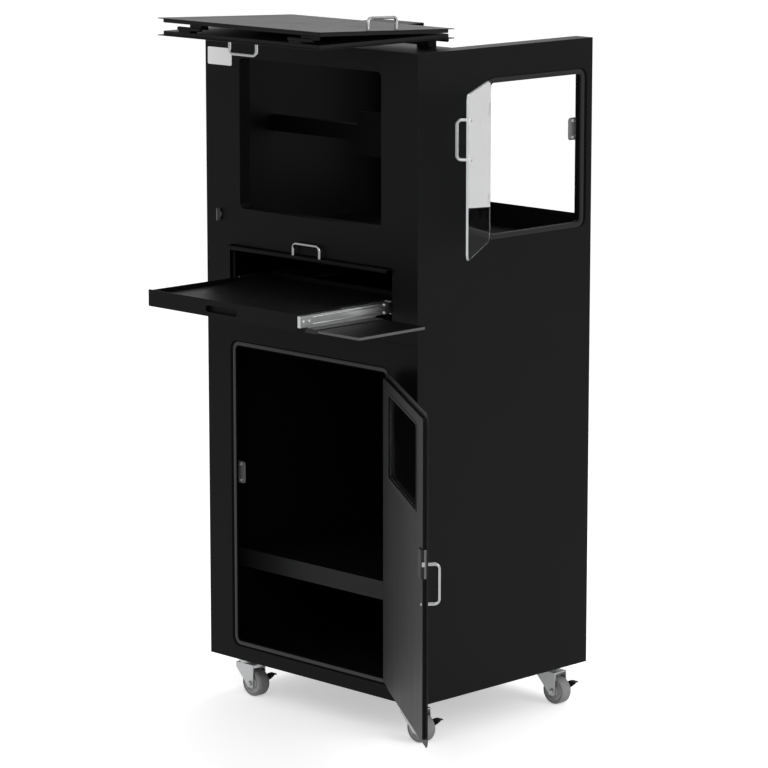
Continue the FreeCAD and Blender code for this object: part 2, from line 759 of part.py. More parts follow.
hung("roof_leaf_handle",
     [bow_handle("roof_bow", (leaf_middle, leaf_back - d.handle_inset, leaf_outer_z), X_AXIS, Z_AXIS)],
     roof_swing)
rear_skin_y = d.fold_axis_rise + d.leaf_pan
rear_outer_y = rear_skin_y + d.leaf_skin
rear_bottom = d.fold_lap - d.rear_leaf_length
rear_skin = plate("rear_leaf_skin", "XZ_Plane",
                  [("round_box", leaf_left, rear_bottom, leaf_right, d.fold_lap, d.leaf_round)],
                  d.leaf_skin, (0, rear_skin_y, 0))
rear_pan = plate("rear_leaf_pan", "XZ_Plane",
                 [("round_box", leaf_left + d.leaf_pan_inset, rear_bottom + d.leaf_pan_inset,
                   leaf_right - d.leaf_pan_inset, d.fold_lap - d.leaf_pan_inset, d.leaf_round)],
                 d.leaf_pan, (0, d.fold_axis_rise, 0))
hung("rear_leaf_panel", [fuse("rear_leaf_sheet", [rear_skin, rear_pan])], rear_swing)
hung("rear_leaf_handle",
     [bow_handle("rear_bow", (leaf_right - d.handle_inset, rear_outer_y, d.fold_lap - d.rear_leaf_length / 2),
                 Z_AXIS, Y_AXIS)], rear_swing)

# Hatch hinges: the lower half carries the knuckle and pin at one end, the upper half turns on it at the other
half_hinge = d.hatch_hinge_length / 2
roof_blocks = []
roof_straps = []
fold_lower = []
fold_upper = []
for place_name, start in (("left", leaf_left + d.hatch_hinge_margin),
                          ("right", leaf_right - d.hatch_hinge_right_margin - d.hatch_hinge_length)):
    middle = start + half_hinge
    end = start + d.hatch_hinge_length
    bore_radius = d.pin_radius + d.pin_play
    roof_blocks.append(fuse(f"roof_block_{place_name}", [
        box(f"roof_block_{place_name}_base", (start, -d.hatch_hinge_depth, -d.roof_axis_rise),
            (middle, d.leaf_edge_gap - 1, 0)),
        rod(f"roof_block_{place_name}_knuckle", "x", (start, 0, 0), d.knuckle_radius, half_hinge),
        rod(f"roof_block_{place_name}_pin", "x", (start, 0, 0), d.pin_radius, d.hatch_hinge_length - 2)]))
    roof_straps.append(cut(f"roof_strap_{place_name}", fuse(f"roof_strap_{place_name}_solid", [
        rod(f"roof_strap_{place_name}_knuckle", "x", (middle + d.running_gap, 0, 0), d.knuckle_radius,
            half_hinge - d.running_gap),
        box(f"roof_strap_{place_name}_leaf", (middle + d.running_gap, 0, leaf_outer_z),
            (end, d.hatch_hinge_depth, leaf_outer_z + 4))]),
        [rod(f"roof_strap_{place_name}_bore", "x", (middle - 1, 0, 0), bore_radius, half_hinge + 2)]))
    fold_lower.append(fuse(f"fold_lower_{place_name}", [
        box(f"fold_lower_{place_name}_base", (start, -d.hatch_hinge_depth, 0), (middle, 0, d.fold_axis_rise)),
        rod(f"fold_lower_{place_name}_knuckle", "x", (start, 0, 0), d.knuckle_radius, half_hinge),
        rod(f"fold_lower_{place_name}_pin", "x", (start, 0, 0), d.pin_radius, d.hatch_hinge_length - 2)]))
    fold_upper.append(cut(f"fold_upper_{place_name}", fuse(f"fold_upper_{place_name}_solid", [
        rod(f"fold_upper_{place_name}_knuckle", "x", (middle + d.running_gap, 0, 0), d.knuckle_radius,
            half_hinge - d.running_gap),
        box(f"fold_upper_{place_name}_base", (middle + d.running_gap, 0, -d.hatch_hinge_depth),
            (end, d.fold_axis_rise, 0))]),
        [rod(f"fold_upper_{place_name}_bore", "x", (middle - 1, 0, 0), bore_radius, half_hinge + 2)]))
hung("roof_hinge_straps", roof_straps, roof_swing)
fold_set = place(group("fold_lower_set", fold_lower), (0, fold_reach_y, -fold_reach_z))
hung("fold_hinge_lower", [fold_set], roof_swing)
hung("fold_hinge_upper", fold_upper, rear_swing)
lower_set = place(group("lower_leaf_set", lower_leaves), (lower_axis_x, lower_axis_y, 0))
side_set = place(group("side_leaf_set", side_leaves), (side_axis_x, side_axis_y, 0))
roof_set = place(group("roof_block_set", roof_blocks), (0, roof_axis_y, roof_axis_z))
keep(group("hinge_leaves", [lower_set, side_set, roof_set]), "hinge_leaves")

# Strikes behind the jambs: a screwed plate on a leg, with a pocket between two end blocks. Each is drawn with
# its free edge at the origin, and then set behind its jamb.
half_strike = d.strike_height / 2
half_pocket = d.pocket_height / 2
strike_hole_rise = half_strike - d.strike_hole_margin
pocket_start = -d.pocket_inset
strike_end = -d.strike_width
leg_length = d.strike_setback - d.sheet_gauge


def strike(name):
    loops = [("round_box", strike_end, -half_strike, 0, half_strike, d.strike_round)]
    for sign_z in (-1, 1):
        loops.append(("circle", -d.strike_hole_inset, sign_z * strike_hole_rise, d.strike_hole))
    pieces = [plate(f"{name}_face", "XZ_Plane", loops, d.sheet_gauge)]
    for side, start, end in (("low", d.strike_round - half_strike, -half_pocket),
                             ("high", half_pocket, half_strike - d.strike_round)):
        pieces.append(box(f"{name}_block_{side}", (strike_end, -d.pocket_depth, start),
                          (pocket_start, 0, end)))
    pieces.append(box(f"{name}_leg", (strike_end, -leg_length, d.strike_round - half_strike),
                      (strike_end + d.strike_leg, 0, half_strike - d.strike_round)))
    return fuse(name, pieces)


lower_strike_at = (d.lower_strike_reveal - lower_open_half, front + d.strike_setback, d.lower_strike_level)
lower_strike = place(strike("lower_strike"), lower_strike_at)
side_strike_at = (half_width - d.strike_setback, side_back - d.side_strike_reveal,
                  side_low + d.side_strike_rise)
side_strike = place(strike("side_strike"), side_strike_at, (X_AXIS - Y_AXIS, 180))
keep(group("door_strikes", [lower_strike, side_strike]), "door_strikes")

# Quarter-turn latch beside the monitor opening: a wing grip on a round collar
latch_x = d.latch_inset - half_width
half_wing = d.latch_wing_width / 2
half_grip = d.latch_wing_height / 2
latch_collar = plate("latch_collar", "XZ_Plane", [("circle", latch_x, d.latch_level, d.latch_collar)],
                     d.latch_collar_rise, (0, front - d.latch_collar_rise, 0))
latch_wing = plate("latch_wing", "XZ_Plane",
                   [("round_box", latch_x - half_wing, d.latch_level - half_grip, latch_x + half_wing,
                     d.latch_level + half_grip, half_wing - d.running_gap)],
                   d.latch_wing_rise, (0, front - d.latch_wing_rise, 0))
keep(fuse("latch_knob", [latch_collar, latch_wing]), "front_latch")


# Keyboard tray on telescopic slides
def channel(name, web, lip, start, end, bottom, top, wall):
    # A channel along Y: its web stands at web and its flanges reach to lip.
    turned = web.value > lip.value
    low, high = (lip, web) if turned else (web, lip)
    inner_low, inner_high = (lip - 1, web - wall) if turned else (web + wall, lip + 1)
    stock = box(f"{name}_stock", (low, start, bottom), (high, end, top))
    bore = box(f"{name}_bore", (inner_low, start - 1, bottom + wall), (inner_high, end + 1, top - wall))
    return cut(name, stock, [bore])


tray_half = d.tray_width / 2
tray_top = bay_low + d.tray_rise
tray_front = front - d.tray_reach
tray_back = tray_front + d.tray_depth
tray_floor = tray_top - d.tray_lip
slide_web = tray_half + d.slide_width
fascia_half = slide_web + d.fascia_lap
fascia_low = tray_top - d.fascia_height
slot_half = d.slot_width / 2
slot_low = fascia_low + d.slot_rise
slot_high = slot_low + d.slot_height
fascia = plate("tray_fascia", "XZ_Plane",
               [("round_box", -fascia_half, fascia_low, fascia_half, tray_top, d.trim_width),
                ("round_box", -slot_half, slot_low, slot_half, slot_high,
                 d.slot_height / 2 - d.running_gap)],
               d.sheet_gauge, (0, tray_front, 0))
cup_back = tray_front + d.sheet_gauge + d.cup_depth
cup_half = slot_half + d.sheet_gauge
cup_stock = box("finger_cup_stock", (-cup_half, tray_front + d.sheet_gauge, slot_low - d.sheet_gauge),
                (cup_half, cup_back, slot_high + d.sheet_gauge))
finger_cup = cut("finger_cup", cup_stock, [box("finger_cup_hollow", (-slot_half, tray_front, slot_low),
                                               (slot_half, cup_back - d.sheet_gauge, slot_high))])
tray_pieces = [fascia, finger_cup]
tray_walls = {
    "floor": ((-tray_half, tray_front, tray_floor - d.sheet_gauge), (tray_half, tray_back, tray_floor)),
    "left": ((-tray_half, tray_front, tray_floor - d.sheet_gauge),
             (-tray_half + d.sheet_gauge, tray_back, tray_top)),
    "right": ((tray_half - d.sheet_gauge, tray_front, tray_floor - d.sheet_gauge),
              (tray_half, tray_back, tray_top)),
    "back": ((-tray_half, tray_back - d.sheet_gauge, tray_floor - d.sheet_gauge),
             (tray_half, tray_back, tray_top)),
}
for wall_name, corners in tray_walls.items():
    tray_pieces.append(box(f"tray_{wall_name}", *corners))
keep(fuse("keyboard_tray", tray_pieces), "keyboard_tray")

slide_top = tray_top - d.slide_drop
slide_low = slide_top - d.slide_height
slide_start = inner_front + d.slide_setback
slide_end = slide_start + d.slide_length
step = d.slide_wall + d.slide_play
middle_shift = d.tray_reach / 2
outers = []
middles = []
inners = []
for side, sign in (("left", -1), ("right", 1)):
    lip = sign * (tray_half + d.slide_play)
    outers.append(channel(f"tray_outer_{side}", sign * slide_web, lip, slide_start, slide_end, slide_low,
                          slide_top, d.slide_wall))
    middles.append(channel(f"tray_middle_{side}", sign * (slide_web - step), lip, slide_start - middle_shift,
                           slide_end - middle_shift, slide_low + step, slide_top - step, d.slide_wall))
    edges = sorted((sign * tray_half, sign * (slide_web - 2 * step)), key=lambda size: size.value)
    inners.append(box(f"tray_inner_{side}", (edges[0], tray_front + d.sheet_gauge, slide_low + 2 * step),
                      (edges[1], tray_back, slide_top - 2 * step)))
keep(group("tray_slide_middles", middles), "tray_slide_middles")
keep(group("tray_slide_inners", inners), "tray_slide_inners")

# Mouse board that slides sideways through a sleeve, which hangs from its own slide beside the tray
mouse_web = slide_web + d.sheet_gauge
mouse_lip = mouse_web + d.slide_width
mouse_outer = channel("mouse_outer", mouse_web, mouse_lip, slide_start, slide_end, slide_low, slide_top,
                      d.slide_wall)
keep(group("slide_channels", outers + [mouse_outer]), "slide_channels")
board_top = slide_low - d.board_gap
board_low = board_top - d.board_thickness
board_near = front - d.board_front
board_far = board_near + d.board_depth
guide_inner = mouse_web + d.guide_gap
board_right = guide_inner + d.board_overhang
board_left = board_right - d.board_width
keep(plate("mouse_board", "XY_Plane",
           [("round_box", board_left, board_near, board_right, board_far, d.board_round)],
           d.board_thickness, (0, 0, board_low)), "mouse_board")
guide_right = guide_inner + d.guide_width
hole_low = (guide_inner - 1, board_near - d.slide_play, board_low - d.slide_play)
hole_high = (guide_right + 1, board_far + d.slide_play, board_top + d.slide_play)
sleeve_low = (guide_inner, hole_low[1] - d.guide_wall, hole_low[2] - d.guide_wall)
sleeve_high = (guide_right, hole_high[1] + d.guide_wall, hole_high[2] + d.guide_wall)
sleeve = cut("mouse_sleeve", box("mouse_sleeve_stock", sleeve_low, sleeve_high),
             [box("mouse_sleeve_bore", hole_low, hole_high)])
carriage_front = front - d.carriage_front
carriage_bar = box("carriage_bar", (mouse_web + step, carriage_front, slide_low + step),
                   (mouse_lip - d.slide_play, carriage_front + d.carriage_length, slide_top - step))
carriage_hanger = box("carriage_hanger", (mouse_web + step, sleeve_low[1], sleeve_high[2]),
                      (mouse_lip - d.slide_play, sleeve_high[1], slide_low + step))
keep(fuse("mouse_carriage", [carriage_bar, carriage_hanger, sleeve]), "mouse_carriage")

# Bay floor with the two walls that hold the slides
bay_floor_top = bay_low - d.bay_floor_drop
bay_floor_low = bay_floor_top - d.sheet_gauge
bay_floor_back = inner_front + d.bay_floor_depth
bay_floor_pieces = [box("bay_floor_sheet", (-inner_side, inner_front, bay_floor_low),
                        (inner_side, bay_floor_back, bay_floor_top))]
for side, sign in (("left", -1), ("right", 1)):
    edges = sorted((sign * slide_web, sign * mouse_web), key=lambda size: size.value)
    bay_floor_pieces.append(box(f"bay_wall_{side}", (edges[0], slide_start, bay_floor_low),
                                (edges[1], bay_floor_back, tray_top + d.bay_wall_rise)))
keep(fuse("keyboard_bay_floor", bay_floor_pieces), "keyboard_bay_floor")

# Keyboard flap: turned up flat and pushed back over the tray, on a rod carried by two shoes
flap_top = bay_top - d.flap_head_gap
flap_half = bay_half - d.flap_side_gap
flap_front = front - d.flap_proud
flap_axis_y = flap_front + d.flap_height
flap_axis_z = flap_top - d.flap_axis_drop
flap_back = flap_axis_y - d.flap_knuckle - d.running_gap
flap_sheet = plate("flap_sheet", "XY_Plane",
                   [("round_box", -flap_half, flap_front, flap_half, flap_back, d.trim_width)],
                   d.flap_skin, (0, 0, flap_top - d.flap_skin))
flap_low = flap_top - d.flap_rim
flap_stock = [flap_sheet, box("flap_front_rim", (-flap_half + d.trim_width, flap_front, flap_low),
                              (flap_half - d.trim_width, flap_front + d.flap_skin, flap_top))]
flap_bores = []
for side, sign in (("left", -1), ("right", 1)):
    start = sign * flap_half / 2 - d.flap_knuckle_length / 2
    flap_stock.append(rod(f"flap_knuckle_{side}", "x", (start, flap_axis_y, flap_axis_z), d.flap_knuckle,
                          d.flap_knuckle_length))
    flap_stock.append(box(f"flap_tongue_{side}", (start, flap_back - d.flap_knuckle, flap_top - 4),
                          (start + d.flap_knuckle_length, flap_axis_y, flap_top)))
    flap_bores.append(rod(f"flap_bore_{side}", "x", (start - 1, flap_axis_y, flap_axis_z),
                          d.flap_rod + d.pin_play, d.flap_knuckle_length + 2))
keep(cut("flap_panel", fuse("flap_solid", flap_stock), flap_bores), "flap_panel")
keep(bow_handle("flap_handle", (0, flap_front + d.handle_rod + 1, flap_top), X_AXIS, Z_AXIS), "flap_handle")
arm_low = flap_axis_z - d.flap_rod
arm_high = flap_axis_z + d.flap_rod
arm_back = flap_axis_y + d.arm_depth
track_low = flap_axis_z - d.track_height / 2
track_high = flap_axis_z + d.track_height / 2
carriage = [rod("flap_cross_rod", "x", (-flap_half, flap_axis_y, flap_axis_z), d.flap_rod, 2 * flap_half)]
tracks = []
for side, sign in (("left", -1), ("right", 1)):
    edges = sorted((sign * (flap_half - d.arm_width), sign * flap_half), key=lambda size: size.value)
    carriage.append(box(f"flap_arm_{side}", (edges[0], flap_axis_y - d.flap_rod, arm_low),
                        (edges[1], arm_back, arm_high)))
    lip = flap_half + 2 * d.slide_play
    web = lip + d.track_width
    edges = sorted((sign * flap_half, sign * (web - step)), key=lambda size: size.value)
    carriage.append(box(f"flap_shoe_{side}", (edges[0], arm_back - d.shoe_depth, track_low + step),
                        (edges[1], arm_back, track_high - step)))
    rail = channel(f"flap_rail_{side}", sign * web, sign * lip, slide_start, slide_start + d.track_depth,
                   track_low, track_high, d.slide_wall)
    edges = sorted((sign * (web - d.slide_wall), sign * web), key=lambda size: size.value)
    hanger = box(f"flap_hanger_{side}", (edges[0], slide_start, track_low),
                 (edges[1], slide_start + d.track_depth, deck_low))
    tracks.append(fuse(f"flap_track_{side}", [rail, hanger]))
keep(fuse("flap_carriage", carriage), "flap_carriage")
keep(group("flap_tracks", tracks), "flap_tracks")

# Casters: a fixed plate with a king pin, and a fork, wheel and side brake lever that turn
half_caster = d.caster_plate / 2
half_hole = d.caster_hole_pitch / 2
plate_low = -d.caster_plate_gauge
race_low = plate_low - d.race_height
crown_high = race_low - d.race_gap
crown_low = crown_high - d.fork_gauge
axle_z = d.wheel_radius - d.caster_height
leg_inner = d.wheel_width / 2 + d.fork_gap
leg_outer = leg_inner + d.fork_gauge
leg_outline = [(-d.fork_back, crown_low), (d.fork_nose, crown_low),
               (d.fork_nose, axle_z - d.fork_foot / 3), (d.wheel_trail + d.lever_boss, axle_z - d.fork_foot),
               (d.wheel_trail - d.lever_boss, axle_z - d.fork_foot),
               (d.wheel_trail - 2 * d.lever_boss, axle_z), (-d.fork_back, crown_low - d.fork_foot)]
lever_near = leg_outer + d.running_gap
lever_far = lever_near + d.lever_gauge
lever_outline = [(0, -d.lever_boss + 1), (2 * d.lever_reach / 3, d.lever_boss),
                 (d.lever_reach, d.lever_rise - d.lever_boss / 2), (d.lever_reach, d.lever_rise),
                 (d.lever_reach / 2, d.lever_rise), (-d.lever_boss / 2, d.lever_boss - 2)]
half_wheel = d.wheel_width / 2
web_side = half_wheel - d.wheel_recess
wheel_side = [(d.wheel_radius, half_wheel - d.tyre_shoulder), (d.wheel_radius - d.tyre_shoulder, half_wheel),
              (d.wheel_rim, half_wheel), (d.wheel_rim - 2, web_side), (d.wheel_hub + 2, web_side),
              (d.wheel_hub, half_wheel), (d.wheel_bore, half_wheel)]
wheel_profile = wheel_side + [(u, -v) for u, v in reversed(wheel_side)]
caster_plates = []
for spot, sign_x, sign_y in (("front_left", -1, -1), ("front_right", 1, -1), ("rear_left", -1, 1),
                             ("rear_right", 1, 1)):
    centre = (sign_x * (half_width - d.caster_inset_x), sign_y * (half_depth - d.caster_inset_y), 0)
    still = (centre, None)
    plate_loops = [("round_box", -half_caster, -half_caster, half_caster, half_caster, d.bay_round)]
    for corner_x in (-1, 1):
        for corner_y in (-1, 1):
            plate_loops.append(("circle", corner_x * half_hole, corner_y * half_hole, d.caster_hole))
    fixed = fuse(f"{spot}_mount", [
        plate(f"{spot}_plate", "XY_Plane", plate_loops, d.caster_plate_gauge, (0, 0, plate_low)),
        rod(f"{spot}_race", "z", (0, 0, race_low), d.race_radius, d.race_height),
        rod(f"{spot}_king_pin", "z", (0, 0, crown_low - 2), d.king_pin_radius, -crown_low + 2)])
    caster_plates.append(place(group(f"{spot}_mount_set", [fixed]), centre))
    crown = cut(f"{spot}_crown", box(f"{spot}_crown_stock", (-d.fork_back, -leg_outer, crown_low),
                                     (d.fork_nose, leg_outer, crown_high)),
                [rod(f"{spot}_crown_hole", "z", (0, 0, crown_low - 1), d.king_pin_radius + d.pin_play,
                     d.fork_gauge + 2)])
    fork_pieces = [crown,
                   rod(f"{spot}_axle", "y", (d.wheel_trail, -leg_outer - 2, axle_z), d.axle_radius,
                       leg_outer + 2 + lever_far + 2)]
    for leg, start in (("near", -leg_outer), ("far", leg_inner)):
        fork_pieces.append(plate(f"{spot}_leg_{leg}", "XZ_Plane", [("polygon", leg_outline)], d.fork_gauge,
                                 (0, start, 0)))
    hung(f"{spot}_fork", [fuse(f"{spot}_fork_solid", fork_pieces)], still)
    wheel = turned(f"{spot}_wheel_solid", wheel_profile, (d.wheel_trail, 0, axle_z))
    hung(f"{spot}_wheel", [wheel], still)
    lever_pieces = [
        plate(f"{spot}_lever_arm", "XZ_Plane", [("polygon", lever_outline)], d.lever_gauge,
              (0, lever_near, 0)),
        rod(f"{spot}_lever_boss", "y", (0, lever_near, 0), d.lever_boss, d.lever_gauge),
        box(f"{spot}_lever_lip", (d.lever_reach / 2, lever_near, d.lever_rise - d.lever_gauge),
            (d.lever_reach, lever_near + d.lever_lip, d.lever_rise))]
    lever_bore = rod(f"{spot}_lever_bore", "y", (0, lever_near - 1, 0), d.axle_radius + d.pin_play,
                     d.lever_gauge + 2)
    lever = cut(f"{spot}_lever_solid", fuse(f"{spot}_lever_stock", lever_pieces), [lever_bore])
    hung(f"{spot}_pedal", [lever], ((centre[0] + d.wheel_trail, centre[1], axle_z), None))
keep(group("caster_plates", caster_plates), "caster_plates")

doc.recompute()
os.makedirs("parts", exist_ok=True)
for item in doc.Objects:
    if "Invalid" in item.State or "Error" in item.State:
        raise RuntimeError(f"{item.Label} did not rebuild: {item.State}")
for node in nodes:
    if node.Shape.isNull() or not node.Shape.isValid():
        raise RuntimeError(f"{node.Label} has no valid shape")
    node.Shape.exportStep(f"parts/{node.Label}.step")
print(len(nodes), "nodes exported")
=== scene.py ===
# Looks for the computer enclosure cabinet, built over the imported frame. Metres, +Z up, front faces -Y.
import json
import math
import bpy
from mathutils import Matrix, Vector


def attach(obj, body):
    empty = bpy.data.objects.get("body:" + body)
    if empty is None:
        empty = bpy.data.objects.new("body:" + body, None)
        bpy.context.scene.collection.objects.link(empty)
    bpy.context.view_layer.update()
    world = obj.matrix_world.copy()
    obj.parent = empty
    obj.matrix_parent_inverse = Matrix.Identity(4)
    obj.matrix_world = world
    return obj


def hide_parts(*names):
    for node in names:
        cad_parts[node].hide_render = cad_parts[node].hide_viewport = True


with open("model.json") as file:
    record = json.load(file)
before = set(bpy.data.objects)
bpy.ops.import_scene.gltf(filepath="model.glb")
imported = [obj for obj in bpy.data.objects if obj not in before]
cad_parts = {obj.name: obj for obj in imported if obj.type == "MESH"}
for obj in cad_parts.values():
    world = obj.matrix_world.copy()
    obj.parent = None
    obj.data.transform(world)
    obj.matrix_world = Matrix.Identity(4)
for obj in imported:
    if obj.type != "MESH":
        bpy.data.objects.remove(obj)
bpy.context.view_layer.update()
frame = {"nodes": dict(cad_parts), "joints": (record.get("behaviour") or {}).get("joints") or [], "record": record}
cadNodes = frame["nodes"]
bodyNodes = frame["record"]["behaviour"]["bodies"]
nodeBody = {node: body for body, members in bodyNodes.items() for node in members}
joints = {joint["name"]: joint for joint in frame["joints"]}
print("frame loaded:", len(cadNodes), "nodes")


# finishes

class Wire:
    # a socket of a node tree; arithmetic on it adds Math nodes

    def __init__(self, finish, socket):
        self.finish = finish
        self.socket = socket

    def combine(self, operation, first, second):
        return self.finish.add("ShaderNodeMath", {"operation": operation}, {0: first, 1: second})

    def __add__(self, other):
        return self.combine("ADD", self, other)

    def __radd__(self, other):
        return self.combine("ADD", other, self)

    def __sub__(self, other):
        return self.combine("SUBTRACT", self, other)

    def __rsub__(self, other):
        return self.combine("SUBTRACT", other, self)

    def __mul__(self, other):
        return self.combine("MULTIPLY", self, other)

    def __rmul__(self, other):
        return self.combine("MULTIPLY", other, self)

    def highest(self, other):
        return self.combine("MAXIMUM", self, other)


class Finish:
    # one material, or the world, with a short way to add and link nodes

    def __init__(self, owner):
        owner.use_nodes = True
        self.owner = owner
        self.tree = owner.node_tree

    def add(self, nodeType, settings, sockets, output=0):
        node = self.tree.nodes.new(nodeType)
        for key, value in settings.items():
            setattr(node, key, value)
        for key, value in sockets.items():
            self.fill(node.inputs[key], value)
        return Wire(self, node.outputs[output])

    def fill(self, socket, value):
        if isinstance(value, Wire):
            self.tree.links.new(value.socket, socket)
        else:
            socket.default_value = value

    def shade(self, sockets):
        shader = self.tree.nodes["Principled BSDF"]
        for key, value in sockets.items():
            self.fill(shader.inputs[key], value)
        return self.owner

    def spot(self, stretch=(1, 1, 1)):
        place = self.add("ShaderNodeTexCoord", {}, {}, "Object")
        return self.add("ShaderNodeMapping", {}, {"Vector": place, "Scale": stretch})

    def noise(self, place, scale, detail, rough=0.55):
        return self.add("ShaderNodeTexNoise", {}, {"Vector": place, "Scale": scale, "Detail": detail,
                                                   "Roughness": rough})

    def blend(self, factor, first, second):
        # 6, 7 and output 2 are a Mix node's colour sockets
        return self.add("ShaderNodeMix", {"data_type": "RGBA"}, {0: factor, 6: first, 7: second}, 2)

    def seen(self):
        # 1 where the camera looks, straight, in a reflection or through glass
        straight = self.add("ShaderNodeLightPath", {}, {}, "Is Camera Ray")
        mirrored = self.add("ShaderNodeLightPath", {}, {}, "Is Glossy Ray")
        through = self.add("ShaderNodeLightPath", {}, {}, "Is Transmission Ray")
        return straight.highest(mirrored).highest(through)

    def bump(self, height, strength, distance):
        return self.add("ShaderNodeBump", {}, {"Strength": strength, "Distance": distance, "Height": height})


def newFinish(name):
    return Finish(bpy.data.materials.new(name))


def grey(level, tint=0.0):
    return (level, level * (1 + tint * 0.5), level * (1 + tint), 1)


coatSkin = {"peelDetail": 2.0, "peelDepth": 0.0004, "cloudScale": 4.0, "cloudDetail": 4.0, "cloudGloss": 0.12,
            "rubStretch": (1, 1, 0.25), "rubScale": 22.0, "rubDetail": 5.0, "rubRough": 0.65,
            "darkTint": 0.06, "lightTint": 0.05}


def powderCoat(name, look):
    # fine orange peel over a deep black, with faint hand marks in the gloss
    finish = newFinish(name)
    place = finish.spot()
    peel = finish.noise(place, look["peelScale"], coatSkin["peelDetail"])
    cloud = finish.noise(place, coatSkin["cloudScale"], coatSkin["cloudDetail"])
    rub = finish.noise(finish.spot(coatSkin["rubStretch"]), coatSkin["rubScale"], coatSkin["rubDetail"],
                       coatSkin["rubRough"])
    colour = finish.blend(cloud, grey(look["dark"], coatSkin["darkTint"]),
                          grey(look["light"], coatSkin["lightTint"]))
    gloss = look["rough"] + (cloud - 0.5) * coatSkin["cloudGloss"] + (rub - 0.5) * look["rub"]
    return finish.shade({"Base Color": colour, "Roughness": gloss, "Specular IOR Level": look["shine"],
                         "Normal": finish.bump(peel, look["peel"], coatSkin["peelDepth"])})


steelSkin = {"streakDetail": 4.0, "streakRough": 0.6, "streakGloss": 0.16, "streakDepth": 0.0003,
             "stainScale": 9.0, "stainDetail": 4.0, "stainGloss": 0.08, "tint": 0.02}


def steel(name, look):
    # brushed or drawn metal: long thin streaks along one axis
    finish = newFinish(name)
    streak = finish.noise(finish.spot(look["grain"]), look["scale"], steelSkin["streakDetail"],
                          steelSkin["streakRough"])
    stain = finish.noise(finish.spot(), steelSkin["stainScale"], steelSkin["stainDetail"])
    colour = finish.blend(stain, grey(look["dark"], steelSkin["tint"]),
                          grey(look["light"], steelSkin["tint"]))
    gloss = (look["rough"] + (streak - 0.5) * steelSkin["streakGloss"]
             + (stain - 0.5) * steelSkin["stainGloss"])
    return finish.shade({"Base Color": colour, "Metallic": 1.0, "Roughness": gloss,
                         "Normal": finish.bump(streak, look["bump"], steelSkin["streakDepth"])})


mouldedSkin = {"pebbleDetail": 2.0, "pebbleDepth": 0.0004, "scuffScale": 30.0, "scuffDetail": 5.0,
               "scuffRough": 0.7, "scuffGloss": 0.18}


def moulded(name, look):
    # plastic, rubber or dull casting with a fine pebbled skin
    finish = newFinish(name)
    place = finish.spot()
    pebble = finish.noise(place, look["scale"], mouldedSkin["pebbleDetail"])
    scuff = finish.noise(place, mouldedSkin["scuffScale"], mouldedSkin["scuffDetail"],
                         mouldedSkin["scuffRough"])
    colour = finish.blend(scuff, grey(look["dark"]), grey(look["light"]))
    gloss = look["rough"] + (scuff - 0.5) * mouldedSkin["scuffGloss"]
    return finish.shade({"Base Color": colour, "Roughness": gloss, "Specular IOR Level": look["shine"],
                         "Normal": finish.bump(pebble, look["bump"], mouldedSkin["pebbleDepth"])})


clearSkin = {"hazeStretch": (1, 1, 0.3), "hazeScale": 35.0, "hazeDetail": 5.0, "hazeRough": 0.7,
             "hazeGloss": 0.03, "index": 1.49}


def clearSheet(name, look):
    # clear acrylic with a trace of wiping haze
    finish = newFinish(name)
    haze = finish.noise(finish.spot(clearSkin["hazeStretch"]), clearSkin["hazeScale"],
                        clearSkin["hazeDetail"], clearSkin["hazeRough"])
    gloss = look["rough"] + haze * clearSkin["hazeGloss"]
    return finish.shade({"Base Color": look["colour"], "Roughness": gloss,
                         "Transmission Weight": look["clear"], "IOR": clearSkin["index"]})


coatLooks = {
    "blackCoat": {"dark": 0.003, "light": 0.0048, "rough": 0.42, "rub": 0.1, "shine": 0.055, "peel": 0.16,
                  "peelScale": 620.0},
    # lighter than the black coat on the rounded edges: partly rubbed wear, partly painted highlight
    "coatEdge": {"dark": 0.004, "light": 0.007, "rough": 0.36, "rub": 0.2, "shine": 0.08, "peel": 0.08,
                 "peelScale": 620.0},
    # a darker, less shiny copy of the black coat for inner parts: painted shade of the interior
    "innerCoat": {"dark": 0.0025, "light": 0.004, "rough": 0.55, "rub": 0.1, "shine": 0.03, "peel": 0.16,
                  "peelScale": 620.0},
    # a lighter copy of the black coat for the lower door's inner face: painted light on the side that faces the
    # lamps
    "doorBackCoat": {"dark": 0.008, "light": 0.0118, "rough": 0.42, "rub": 0.14, "shine": 0.1, "peel": 0.12,
                     "peelScale": 620.0},
    # a lighter copy of the black coat for the printer shelf's front lip: painted light falling through the opening
    "shelfCoat": {"dark": 0.011, "light": 0.0148, "rough": 0.45, "rub": 0.12, "shine": 0.11, "peel": 0.14,
                  "peelScale": 620.0},
    "hatchCoat": {"dark": 0.004, "light": 0.0065, "rough": 0.42, "rub": 0.12, "shine": 0.108, "peel": 0.1,
                  "peelScale": 520.0},
    "hingeBlack": {"dark": 0.0018, "light": 0.0034, "rough": 0.4, "rub": 0.2, "shine": 0.08, "peel": 0.1,
                   "peelScale": 800.0},
}
steelLooks = {
    "zincPlate": {"dark": 0.4, "light": 0.56, "rough": 0.3, "grain": (1, 0.03, 1), "scale": 260.0,
                  "bump": 0.06},
    "pressedZinc": {"dark": 0.36, "light": 0.48, "rough": 0.4, "grain": (1, 1, 0.2), "scale": 160.0,
                    "bump": 0.05},
    "polishedRod": {"dark": 0.27, "light": 0.35, "rough": 0.2, "grain": (1, 1, 0.05), "scale": 300.0,
                    "bump": 0.03},
}
